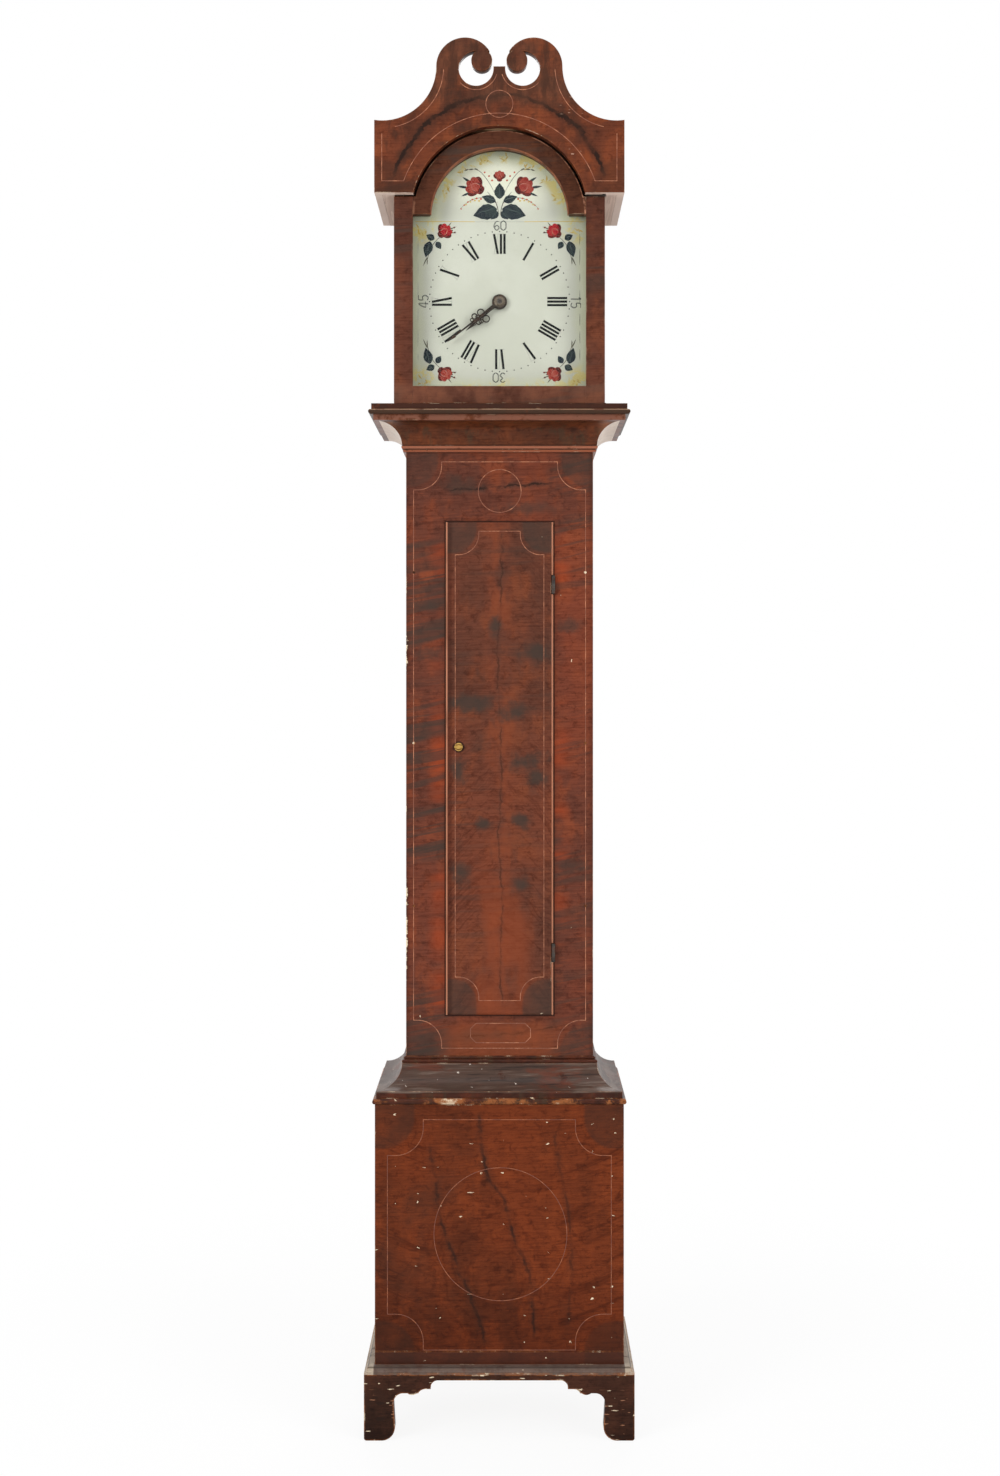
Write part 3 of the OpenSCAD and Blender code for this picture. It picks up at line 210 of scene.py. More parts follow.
class Shader(Nodes):
    """One material's nodes. Places are in metres."""

    def __init__(self, name):
        self.material = bpy.data.materials.new(name)
        self.material.use_nodes = True
        super().__init__(self.material.node_tree)
        self.out = self.tree.nodes.new("ShaderNodeOutputMaterial")
        self.bsdf = self.tree.nodes.new("ShaderNodeBsdfPrincipled")
        self.tree.links.new(self.bsdf.outputs[0], self.out.inputs[0])
        self.place = self.tree.nodes.new("ShaderNodeTexCoord").outputs["Object"]
        split = self.add("ShaderNodeSeparateXYZ", {0: self.place})
        self.x, self.y, self.z = split.outputs

    def length(self, a, b):
        return self.math("SQRT", self.plus(self.mul(a, a), self.mul(b, b)))

    def away(self, x, z):
        """How far a place is from the line at x and z that runs front to back."""
        return self.length(self.sub(self.x, x), self.sub(self.z, z))

    @property
    def aside(self):
        """How far a place is from the clock's middle plane."""
        return self.absolute(self.x)

    def heights(self, low, high):
        """1 between two heights in millimetres."""
        return self.mul(self.above(self.z, low * MM), self.below(self.z, high * MM))

    def vector(self, x, y, z):
        return self.add("ShaderNodeCombineXYZ", {0: x, 1: y, 2: z}).outputs[0]

    def stretched(self, scale, shift=0, tilt=0):
        """The place, tilted in degrees seen from the front, and then stretched on each axis."""
        turn = (0, math.radians(tilt), 0)
        turned = self.add("ShaderNodeMapping", {0: self.place, "Location": triple(shift), "Rotation": turn})
        return self.add("ShaderNodeVectorMath", {0: turned.outputs[0], 1: triple(scale)},
            operation="MULTIPLY").outputs[0]

    def noise(self, at, detail=4.0, rough=0.55, distortion=0.0):
        kind = {"Vector": at, "Scale": 1.0, "Detail": detail, "Roughness": rough, "Distortion": distortion}
        return self.add("ShaderNodeTexNoise", kind).outputs[0]

    def cloud(self, scale, detail=4, rough=0.55, shift=0, tilt=0, distortion=0.0):
        """Noise over the place. A scale or a shift is one number, or one for each axis."""
        return self.noise(self.stretched(scale, shift, tilt), detail, rough, distortion)

    def ramp(self, value, start, end, low_out=0.0, high_out=1.0):
        """A smooth step from low_out at start to high_out at end."""
        return self.add("ShaderNodeMapRange", {"Value": value, "From Min": start, "From Max": end,
            "To Min": low_out, "To Max": high_out}, interpolation_type="SMOOTHSTEP").outputs[0]

    def mix(self, share, a, b, blend="MIX"):
        node = self.tree.nodes.new("ShaderNodeMix")
        node.data_type = "RGBA"
        node.blend_type = blend
        self.put(node.inputs[0], share)
        self.put(node.inputs[6], tint(a))
        self.put(node.inputs[7], tint(b))
        return node.outputs[2]

    def lay(self, mask, colour, strength=1.0):
        """Lays a colour over what is there where the mask is 1."""
        self.colour = self.mix(self.mul(mask, strength), self.colour, colour)

    def shade(self, mask, colour, strength):
        """Multiplies what is there by a colour where the mask is 1."""
        self.colour = self.mix(self.mul(mask, strength), self.colour, colour, "MULTIPLY")

    def many(self, *shares):
        """The product of several masks."""
        total = shares[0]
        for share in shares[1:]:
            total = self.mul(total, share)
        return total

    def curve(self, value, points):
        """A smooth function through points of (value, result), all within one metre of 0."""
        start, end = points[0][0], points[-1][0]
        results = [p[1] for p in points]
        bottom, top = min(results) - 0.01, max(results) + 0.01
        node = self.tree.nodes.new("ShaderNodeFloatCurve")
        line = node.mapping.curves[0]
        shares = [((v - start) / (end - start), (r - bottom) / (top - bottom)) for v, r in points]
        line.points[0].location = shares[0]
        line.points[1].location = shares[-1]
        for share in shares[1:-1]:
            line.points.new(*share)
        node.mapping.update()
        share = self.add("ShaderNodeMapRange", {"Value": value, "From Min": start, "From Max": end})
        self.put(node.inputs["Value"], share.outputs[0])
        out = self.add("ShaderNodeMapRange", {"Value": node.outputs[0], "To Min": bottom, "To Max": top})
        return out.outputs[0]

    def edges(self, radius=0.0025):
        """1 where two faces meet, by how far a rounded normal leans from the true one."""
        soft = self.add("ShaderNodeBevel", {"Radius": radius}, samples=6).outputs[0]
        flat = self.add("ShaderNodeNewGeometry", {}).outputs["Normal"]
        lean = self.add("ShaderNodeVectorMath", {0: soft, 1: flat}, operation="DOT_PRODUCT")
        return self.ramp(lean.outputs["Value"], 0.995, 0.86)

    def flakes(self, spacing, share, size, stretch=(1, 1), seed=0.0):
        """1 inside small irregular flakes on an upright face, of which a share of the places has one."""
        along = self.plus(self.x, self.y)
        at = self.vector(self.fma(along, stretch[0] / spacing, seed),
            self.fma(self.z, stretch[1] / spacing, seed), seed)
        rough = self.add("ShaderNodeTexNoise", {"Vector": at, "Scale": 9.0, "Detail": 2.0})
        bent = self.add("ShaderNodeVectorMath", {0: rough.outputs[1], 1: (0.26, 0.26, 0.0), 2: at},
            operation="MULTIPLY_ADD").outputs[0]
        cell = self.add("ShaderNodeTexVoronoi", {"Vector": bent, "Scale": 1.0}, voronoi_dimensions="2D")
        pick = self.add("ShaderNodeSeparateColor", {0: cell.outputs["Color"]})
        here = self.below(pick.outputs[0], share)
        reach = self.fma(pick.outputs[1], size / spacing, 0.25 * size / spacing)
        inside = self.below(cell.outputs["Distance"], reach)
        return self.mul(here, inside)

    def finish(self, colour, rough=0.4, metal=0.0, height=None, bump=0.0002, coat=0.0, coat_rough=0.2,
            specular=0.5):
        """Sets the surface. Height is 0 to 1, and bump is its depth in metres."""
        self.put(self.bsdf.inputs["Base Color"], colour)
        self.put(self.bsdf.inputs["Roughness"], rough)
        self.put(self.bsdf.inputs["Metallic"], metal)
        self.put(self.bsdf.inputs["Specular IOR Level"], specular)
        self.put(self.bsdf.inputs["Coat Weight"], coat)
        self.put(self.bsdf.inputs["Coat Roughness"], coat_rough)
        if height is not None:
            node = self.add("ShaderNodeBump", {"Height": height, "Distance": bump, "Strength": 1.0})
            self.put(self.bsdf.inputs["Normal"], node.outputs[0])
        return self.material


# Where paint is broken away on the waist's edge, in metres: start, full from, full to, end
CHIPPED_RUNS = ((0.70, 0.74, 0.86, 0.92), (1.21, 1.23, 1.265, 1.285))


# Grain painting: a red-brown ground, darker combed bands, smoke and hand-drawn streaks

class GrainPaint(Shader):
    """Red-brown paint combed and smoked to look like figured mahogany, then varnished."""

    def __init__(self, name, red=RED, orange=ORANGE, deep=DEEP, seed=0.0, smoke=None, brushed=0.5):
        super().__init__(name)
        self.seed = seed
        self.soot = smoke or SMOKE
        shift = (seed, seed * 0.7, seed * 1.3)
        broad = self.cloud((6, 6, 3.2), 5, shift=shift)
        self.fine = self.cloud((26, 26, 17), 6, 0.62, shift)
        ground = self.mix(self.ramp(broad, 0.38, 0.62), deep, red)
        self.colour = self.mix(self.mul(self.ramp(self.fine, 0.45, 0.72), 0.75), ground, orange)
        self.comb = self.cloud((7, 7, 620), 3, 0.7, shift, distortion=0.25)
        self.pores = self.cloud((900, 900, 26), 2, shift=shift)
        self.shade(self.ramp(self.comb, 0.42, 0.7), (206, 196, 190), 0.55)
        mottle = self.cloud((34, 34, 260), 6, 0.74, shift, 4)
        self.shade(self.ramp(mottle, 0.46, 0.68), (150, 132, 126), brushed)
        self.lay(self.ramp(mottle, 0.44, 0.30), orange, brushed)
        mottle = self.cloud((70, 70, 90), 5, 0.7, shift, distortion=0.6)
        self.shade(self.ramp(mottle, 0.48, 0.70), (156, 140, 134), 0.6)
        self.worn = None

    def smoke(self, scale, start, end, strength):
        cloud = self.cloud(scale, 5, 0.6, (self.seed + 3, 1, 2), distortion=0.4)
        self.lay(self.ramp(cloud, start, end), self.soot, strength)

    def bands(self, slant, scale, start, end, strength, only=None):
        """Dark combed bands across a board, slanted by an angle in degrees."""
        wave = self.cloud(scale, 3, 0.5, (self.seed, 0, self.seed), slant, 0.6)
        gate = self.ramp(self.cloud((3, 3, 7), 2, shift=(5, self.seed, 1)), 0.40, 0.58)
        mask = self.many(self.ramp(wave, start, end), gate)
        if only is not None:
            mask = self.mul(mask, only)
        self.lay(mask, self.soot, strength)

    def streak(self, points, width, strength, upright=True):
        """A wavy dark streak through points of (place along, place across) in millimetres."""
        points = sorted(points)
        along, across = (self.z, self.x) if upright else (self.x, self.z)
        path = self.curve(along, [(a * MM, b * MM) for a, b in points])
        wobble = self.cloud(60, rough=0.7, shift=(self.seed, 2, 4))
        off = self.sub(across, path)
        off = self.absolute(self.fma(self.sub(wobble, 0.5), 0.016, off))
        broken = self.ramp(self.cloud(34, 3, shift=(1, 6, 3)), 0.36, 0.6, 0.25, 1.0)
        ends = self.many(self.ramp(along, points[0][0] * MM, points[0][0] * MM + 0.02),
            self.ramp(along, points[-1][0] * MM, points[-1][0] * MM - 0.02))
        core = self.ramp(off, width * MM, 0.2 * width * MM)
        haze = self.ramp(off, 3.0 * width * MM, 0)
        self.lay(self.many(haze, ends, broken), self.soot, 0.55 * strength)
        self.lay(self.many(core, ends, broken), INK, strength)

    def corner_smoke(self, line, x_in, over, radius, strength):
        """Smoked quarter fans in the four corners of a board, round the corners of its painted line."""
        middle = (line["low"] + line["high"]) / 2 * MM
        half = (line["high"] - line["low"]) / 2 * MM + over * MM
        inward = self.either(self.sub(x_in * MM, self.aside), 0)
        level = self.either(self.sub(half, self.gap(self.z, middle)), 0)
        blotch = self.ramp(self.cloud(24), 0.3, 0.6, 0.6, 1.0)
        fan = self.ramp(self.length(inward, level), radius * MM + 0.002, radius * MM - 0.004)
        self.lay(self.many(fan, blotch), self.soot, strength)

    def wear(self, edge, flakes, flake_size, stretch=(1, 1), radius=0.0025, only=None):
        """Rubbed edges, with bare wood in them, and flakes of missing paint."""
        rub = self.cloud((38, 38, 22), 5, 0.7, (9, self.seed, 4))
        edges = self.edges(radius)
        if only is not None:
            edges = self.mul(edges, only)
        self.lay(self.many(edges, self.ramp(rub, 0.40, 0.58)), RUBBED, edge)
        spots = self.flakes(0.028, flakes, flake_size, stretch, self.seed)
        bare = self.either(self.many(edges, self.ramp(rub, 0.57, 0.64)), spots)
        self.lay(bare, BARE, min(1.0, 1.2 * edge + 0.1))
        self.worn = bare

    def scrapes(self, share, size, spacing=0.03, stretch=(0.4, 2.0)):
        """Long level scrapes down to the bare wood."""
        spots = self.flakes(spacing, share, size, stretch, self.seed + 6)
        self.lay(spots, BARE, 0.9)
        self.worn = self.either(self.worn, spots)

    def chipped_edge(self, x, reach):
        """Paint broken away in runs along an upright edge, and dark dirt between the breaks."""
        near = self.gap(self.x, x)
        ragged = self.cloud((170, 170, 130), rough=0.7, shift=4)
        runs = [self.many(self.ramp(self.z, start, full), self.ramp(self.z, end, fading))
                for start, full, fading, end in CHIPPED_RUNS]
        run = self.either(*runs)
        limit = self.fma(run, 0.0046, -0.0042)
        bite = self.sub(ragged, 0.5)
        bitten = self.fma(bite, -0.022, near)
        front = self.below(self.fma(bite, -0.022, self.y), WAIST_Y + 0.0035)
        bare = self.many(self.below(bitten, limit), front)
        self.lay(self.many(self.ramp(near, reach, 0), run, front), INK, 0.45)
        self.lay(bare, BARE, 0.95)
        self.worn = self.either(self.worn, bare)

    def smudges(self, places, strength):
        """Soft smoked spots, each given as (x, z, half width, half height) in millimetres."""
        rough = self.cloud(40, 5, 0.65, (5, 1, 7))
        total = None
        for x, z, wide, high in places:
            across = self.fma(self.x, 1 / (wide * MM), -x / wide)
            up = self.fma(self.z, 1 / (high * MM), -z / high)
            away = self.length(across, up)
            spot = self.ramp(self.fma(rough, 2.8, away), 2.7, 1.5)
            total = spot if total is None else self.either(total, spot)
        self.lay(total, self.soot, strength)

    def bare_underside(self, z):
        """Raw pine on faces that look down at a height."""
        normal = self.add("ShaderNodeNewGeometry", {}).outputs["Normal"]
        down = self.below(self.add("ShaderNodeSeparateXYZ", {0: normal}).outputs[2], -0.6)
        here = self.below(self.gap(self.z, z), 3 * MM)
        self.lay(self.many(down, here), SOFFIT, 0.95)

    def raw_inside(self, mask):
        """Unpainted pine on the faces inside the case."""
        rings = self.cloud((30, 30, 1.6), 3, 0.5, (self.seed, 0, 0), distortion=0.9)
        rings = self.ramp(self.math("FRACT", self.mul(rings, 11.0)), 0.15, 0.95, 0.0, 0.6)
        pine = self.mix(rings, PINE, PINE_DARK)
        pine = self.mix(self.mul(self.ramp(self.pores, 0.5, 0.75), 0.4), pine, PINE_DARK)
        self.colour = self.mix(mask, self.colour, pine)

    def door_gap_shadow(self):
        """Painted shadow in the corner where the trunk door's lip meets the front."""
        aside = self.sub(self.aside, DOOR_HW)
        over = self.sub(self.gap(self.z, (DOOR_Z + DOOR_TOP) / 2), (DOOR_TOP - DOOR_Z) / 2)
        off = self.either(aside, over)
        self.lay(self.ramp(off, 3.2 * MM, 1.28 * MM), INK, 0.85)

    def done(self, rough=0.38, coat=0.04):
        height = self.fma(self.comb, 0.45, self.mul(self.pores, 0.35))
        height = self.fma(self.fine, 0.5, height)
        roughness = self.fma(self.fine, 0.24, rough - 0.12)
        if self.worn is not None:
            height = self.sub(height, self.mul(self.worn, 0.9))
            roughness = self.fma(self.worn, 0.35, roughness)
        return self.finish(self.colour, roughness, height=height, bump=0.00022, coat=coat, coat_rough=0.3,
            specular=0.06)


def add_object(name, data):
    made = bpy.data.objects.new(name, data)
    bpy.context.scene.collection.objects.link(made)
    return made


def dress(material, *nodes):
    for name in nodes:
        data = NODES[name].data
        data.materials.clear()
        data.materials.append(material)


def polar(x, z, r, degrees):
    """The place at a distance from another, in a direction seen from the front."""
    a = math.radians(degrees)
    return (x + r * math.cos(a), z + r * math.sin(a))


# Painted lines. Each panel's line has shouldered, hollowed corners.

BASE_LINE = dict(x=178, low=137.5, high=503.7, step=13, r=44)
WAIST_LINE = dict(x=139, low=608, high=1555.6, step=6.5, r=38.8)
DOOR_LINE = dict(x=71.5, low=686, high=1443, step=5, r=33)
SCROLL_LINE_R = 161.3
SCROLL_LINE_X = 187
SCROLL_LINE_Z = 1996.5
SCROLL_LINE_END = 2072
LINE_LIFT = 0.12 * MM

# Circles as x, z and radius, and the octagon as x from, x to, z from, z to and cut
BASE_CIRCLE = (1.7, 321.6, 105.7)
WAIST_CIRCLE = (0.2, 1508.6, 34.6)
SCROLL_CIRCLE = (0, 2119, 21.5)
OCTAGON = (-47, 50, 616.8, 648.3, 9)

# The arcs on a swan neck: x, drop below the scroll board's top, radius, angles and steps
NECK_ARCS = ((186.4, 45.9, 98, 183, 258, 30), (37, 49.0, 34, 196, 318, 24))


def arc(x, z, r, start, end, count=24):
    """Points on an arc, from one angle in degrees to another."""
    return [polar(x, z, r, start + (end - start) * i / count) for i in range(count + 1)]


def panel_line(x, low, high, step, r):
    """The closed line round a panel, as points in millimetres."""
    corner_x, top, bottom = x - step, high - step, low + step
    points = [(corner_x - r, high)] + arc(corner_x, top, r, 180, 270) + [(x, top - r)]
    points += [(x, bottom + r)] + arc(corner_x, bottom, r, 90, 180) + [(corner_x - r, low)]
    mirrored = [(-px, pz) for px, pz in reversed(points)]
    return points + mirrored


def metres(points):
    return [(x * MM, z * MM) for x, z in points]


def ribbon_mesh(bm, points, y, width, lift, closed):
    """Adds a thin flat band along points in the plane y, proud of it by lift."""
    count = len(points)
    rings = []
    for i, (x, z) in enumerate(points):
        before = points[i - 1] if closed or i else points[i]
        after = points[(i + 1) % count] if closed or i < count - 1 else points[i]
        a = Vector((x - before[0], z - before[1]))
        b = Vector((after[0] - x, after[1] - z))
        a = a.normalized() if a.length > 1e-9 else b.normalized()
        b = b.normalized() if b.length > 1e-9 else a
        way = (a + b).normalized() if (a + b).length > 1e-6 else a
        normal = Vector((-way.y, way.x)) / max(0.35, way.dot(a))
        half = (width[i] if isinstance(width, list) else width) / 2
        left = (x + normal.x * half, z + normal.y * half)
        right = (x - normal.x * half, z - normal.y * half)
        corners = ((left, y - lift), (right, y - lift), (right, y), (left, y))
        rings.append([bm.verts.new((p[0], depth, p[1])) for p, depth in corners])
    last = count if closed else count - 1
    for i in range(last):
        this, following = rings[i], rings[(i + 1) % count]
        for k in range(4):
            bm.faces.new((this[k], this[(k + 1) % 4], following[(k + 1) % 4], following[k]))
    if not closed:
        bm.faces.new(rings[0][::-1])
        bm.faces.new(rings[-1])


def patch_mesh(bm, points, y, lift, dome=0.0):
    """Adds a flat or slightly domed patch with an outline of points in the plane y."""
    cx = sum(p[0] for p in points) / len(points)
    cz = sum(p[1] for p in points) / len(points)
    front = [bm.verts.new((x, y - lift, z)) for x, z in points]
    back = [bm.verts.new((x, y, z)) for x, z in points]
    middle = bm.verts.new((cx, y - lift - dome, cz))
    behind = bm.verts.new((cx, y, cz))
    for i in range(len(points)):
        j = (i + 1) % len(points)
        bm.faces.new((front[i], front[j], middle))
        bm.faces.new((back[j], back[i], behind))
        bm.faces.new((front[j], front[i], back[i], back[j]))


def piece(name, bm, body, material, smooth=False):
    """Turns a mesh in progress into a piece of the object that rides on a body."""
    bmesh.ops.recalc_face_normals(bm, faces=bm.faces)
    data = bpy.data.meshes.new(name)
    bm.to_mesh(data)
    bm.free()
    data.materials.append(material)
    for face in data.polygons:
        face.use_smooth = smooth
    made = add_object(name, data)
    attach(made, body)
    return made


def painted_lines(name, paths, y, body, material, width):
    """Thin painted lines along paths of (points in millimetres, closed)."""
    bm = bmesh.new()
    for points, closed in paths:
        ribbon_mesh(bm, metres(points), y, width * MM, LINE_LIFT, closed)
    return piece(name, bm, body, material)


# Wood and metal of the carcass and the movement

def grain_scale(along, slow, quick):
    """Scales for noise that is drawn out along one axis."""
    return tuple(slow if axis == along else quick for axis in "xyz")


def wood(name, colour, dark, along="z", rough=0.6, seed=0.0, dirt=0.35):
    """Sawn and planed wood: growth rings stretched along one axis, pores and a little dirt."""
    s = Shader(name)
    shift = (seed, seed * 2, seed * 3)
    rings = s.cloud(grain_scale(along, 2.2, 34), 3, 0.5, shift, distortion=0.9)
    rings = s.ramp(s.math("FRACT", s.mul(rings, 10.0)), 0.15, 0.95)
    pores = s.cloud(grain_scale(along, 30, 700), 2, shift=shift)
    s.colour = colour
    s.lay(rings, dark, 0.6)
    s.lay(s.ramp(pores, 0.5, 0.75), dark, 0.5)
    s.shade(s.ramp(s.cloud(5, shift=shift), 0.5, 0.75), (92, 72, 56), dirt)
    height = s.fma(rings, 0.35, pores)
    return s.finish(s.colour, s.fma(pores, 0.2, rough - 0.1), height=height, bump=0.00012, specular=0.35)


def metal(name, colour, dull, rough=0.42, shine=1.0, rust=0.0, seed=0.0, hub=None):
    """Worked metal: tarnish in clouds, fine file marks, and rust where it has any.

    A hub is (place, inner radius, outer radius) of a ring that handling has rubbed bright."""
    s = Shader(name)
    cloud = s.cloud(60, 6, 0.65, (seed, 0, 0))
    marks = s.cloud(300, rough=0.7, shift=(0, seed, 0))
    s.colour = s.mix(s.ramp(cloud, 0.35, 0.7), colour, dull)
    roughness = s.fma(cloud, 0.35, rough - 0.15)
    if rust:
        spots = s.mul(s.ramp(s.cloud(140, 5), 0.52, 0.62), rust)
        s.lay(spots, (112, 62, 38))
        roughness = s.fma(spots, 0.3, roughness)
    if hub:
        place, inner, outer = hub
        away = s.away(place.x, place.z)
        ring = s.many(s.ramp(away, inner * MM, (inner + 1.5) * MM),
            s.ramp(away, outer * MM, (outer - 1.5) * MM), s.ramp(cloud, 0.3, 0.6, 0.5, 1.0))
        s.lay(ring, (128, 116, 100))
    return s.finish(s.colour, roughness, metal=shine, height=marks, bump=0.00005)


def train_wood(name, at, core, seed):
    """Cherry wheels on an iron arbor: iron within a radius of the arbor's axis."""
    s = Shader(name)
    iron = s.below(s.away(at[0], at[2]), core)
    grain = s.cloud((200, 30, 12), shift=(seed, 0, 0), tilt=25 + 40 * seed)
    ring = s.math("FRACT", s.mul(grain, 6))
    cherry = s.mix(s.ramp(ring, 0.2, 0.9), (158, 104, 66), (128, 78, 48))
    marks = s.cloud(260, 3)
    steel = s.mix(s.ramp(marks, 0.35, 0.65), (92, 88, 84), (62, 58, 54))
    return s.finish(s.mix(iron, cherry, steel), s.fma(marks, 0.2, 0.4), metal=iron, height=marks,
        bump=0.00006)


# Painted surfaces of the case, with places in metres

GRAIN_EYE = (-11 * MM, 269 * MM)
RING_R = 0.205
RING_FROM = 1.995
NECK_FROM = 2.10
SHOULDER_SCUFF = (0.118, 2.112)
ARCH_SCUFF = (0.117, 2.043)
PLINTH_DUST_SHEEN_FROM = 90 * MM
PLINTH_SEAM = 113.6 * MM


def base_front_paint():
    p = GrainPaint("base_front_grain", seed=1.0)
    wobble = p.cloud(14, rough=0.6)
    rings = p.away(*GRAIN_EYE)
    rings = p.fma(wobble, 0.11, rings)
    wave = p.math("SINE", p.mul(rings, 250))
    reach = p.many(p.ramp(rings, 0.24, 0.12), p.ramp(p.comb, 0.3, 0.6, 0.5, 1.0))
    p.shade(p.many(p.ramp(wave, 0.2, 1.0), reach), (160, 130, 118), 0.3)
    bow = p.fma(p.mul(p.aside, p.aside), -1.3, p.z)
    comb = p.noise(p.vector(p.mul(p.x, 4.5), 0.3, p.mul(bow, 52)), detail=4, rough=0.6, distortion=0.5)
    outer = p.ramp(p.aside, 0.06, 0.14, 0.25, 1.0)
    p.shade(p.many(p.ramp(comb, 0.52, 0.68), outer), (128, 104, 100), 0.55)
    p.smoke((6, 6, 5), 0.55, 0.74, 0.5)
    p.streak([(520, -30), (431, -24), (376, 6), (308, 27), (248, 49), (150, 55)], 4, 0.7)
    p.streak([(470, -112), (400, -100), (359, -96), (261, -62), (210, -41), (141, -20)], 4.2, 0.62)
    p.streak([(491, 85), (400, 101), (320, 113), (170, 110)], 3.6, 0.42)
    p.corner_smoke(BASE_LINE, 184, 2.9, 50, 0.58)
    p.shade(p.ramp(p.z, 260 * MM, 150 * MM), (196, 186, 178), 0.6)
    p.lay(p.ramp(p.z, 139 * MM, 133 * MM), (66, 40, 32), 0.6)
    p.wear(0.85, 0.22, 0.0012, (0.8, 1.25), 0.003)
    p.scrapes(0.05, 0.0013)
    return p.done(0.36)


def base_side_paint():
    p = GrainPaint("base_side_grain", seed=4.0)
    p.bands(-6, (5, 7, 34), 0.54, 0.68, 0.5)
    p.smoke((6, 6, 5), 0.55, 0.72, 0.6)
    p.wear(0.7, 0.12, 0.0018)
    return p.done(0.36)


def waist_front_paint():
    p = GrainPaint("waist_front_grain", WAIST_RED, WAIST_ORANGE, WAIST_DEEP, 2.0, GREY_SMOKE, 0.42)
    left = p.below(p.x, 0.0)
    right = p.sub(1.0, left)
    stile = p.ramp(p.aside, 70 * MM, 92 * MM)
    near_door = p.ramp(p.aside, 122 * MM, 98 * MM)
    glow = p.ramp(p.cloud((5, 5, 17), 3, shift=(2, 5, 3)), 0.42, 0.62)
    beside = p.many(p.ramp(p.z, DOOR_Z - 0.05, DOOR_Z), p.ramp(p.z, DOOR_TOP, DOOR_TOP - 0.08))
    p.lay(p.many(near_door, glow, beside), (148, 62, 32), 0.65)
    p.bands(9, (3.4, 3.4, 34), 0.48, 0.60, 0.62, p.many(left, stile))
    p.bands(11, (4, 4, 90), 0.50, 0.60, 0.62, p.many(left, stile))
    p.bands(12, (3.4, 3.4, 44), 0.52, 0.64, 0.5, p.many(right, stile))
    p.bands(14, (4, 4, 100), 0.52, 0.62, 0.45, p.many(right, stile))
    p.smudges([(-113, 1246, 34, 13), (-115, 1322, 34, 11), (112, 1290, 22, 15), (116, 905, 28, 12),
        (-70, 1520, 40, 16), (40, 1480, 60, 12), (-40, 628, 50, 10)], 0.6)
    p.streak([(-90, 1510), (-40, 1512), (20, 1517), (90, 1522)], 2.6, 0.8, upright=False)
    p.streak([(-86, 626), (18, 631), (83, 641), (100, 644)], 2.2, 0.85, upright=False)
    p.corner_smoke(WAIST_LINE, 143, 4, 45, 0.45)
    p.shade(p.ramp(p.aside, 141 * MM, 151 * MM), (196, 176, 170), 0.5)
    # Painted shadow round the trunk door's lip.
    p.door_gap_shadow()
    foot_red = p.many(p.ramp(p.z, 0.665, 0.63), p.ramp(p.aside, 0.12, 0.06))
    p.lay(foot_red, (134, 68, 38), 0.45)
    p.wear(0.75, 0.02, 0.0010, (1.6, 0.7), only=p.ramp(p.aside, WAIST_HW - 0.010, WAIST_HW - 0.006))
    p.chipped_edge(-WAIST_HW, 7 * MM)
    p.raw_inside(p.above(p.y, high("waist_stiles").y - 0.5 * MM))
    return p.done()


def waist_side_paint():
    p = GrainPaint("waist_side_grain", WAIST_RED, WAIST_ORANGE, WAIST_DEEP, 5.0, GREY_SMOKE)
    p.bands(-8, (4, 6, 36), 0.53, 0.66, 0.6)
    p.smoke((6, 6, 6), 0.56, 0.72, 0.5)
    p.wear(0.7, 0.03, 0.0018)
    p.chipped_edge(-WAIST_HW, 3 * MM)
    p.raw_inside(p.below(p.aside, WAIST_HW - BOARD + 0.5 * MM))
    return p.done(0.36)


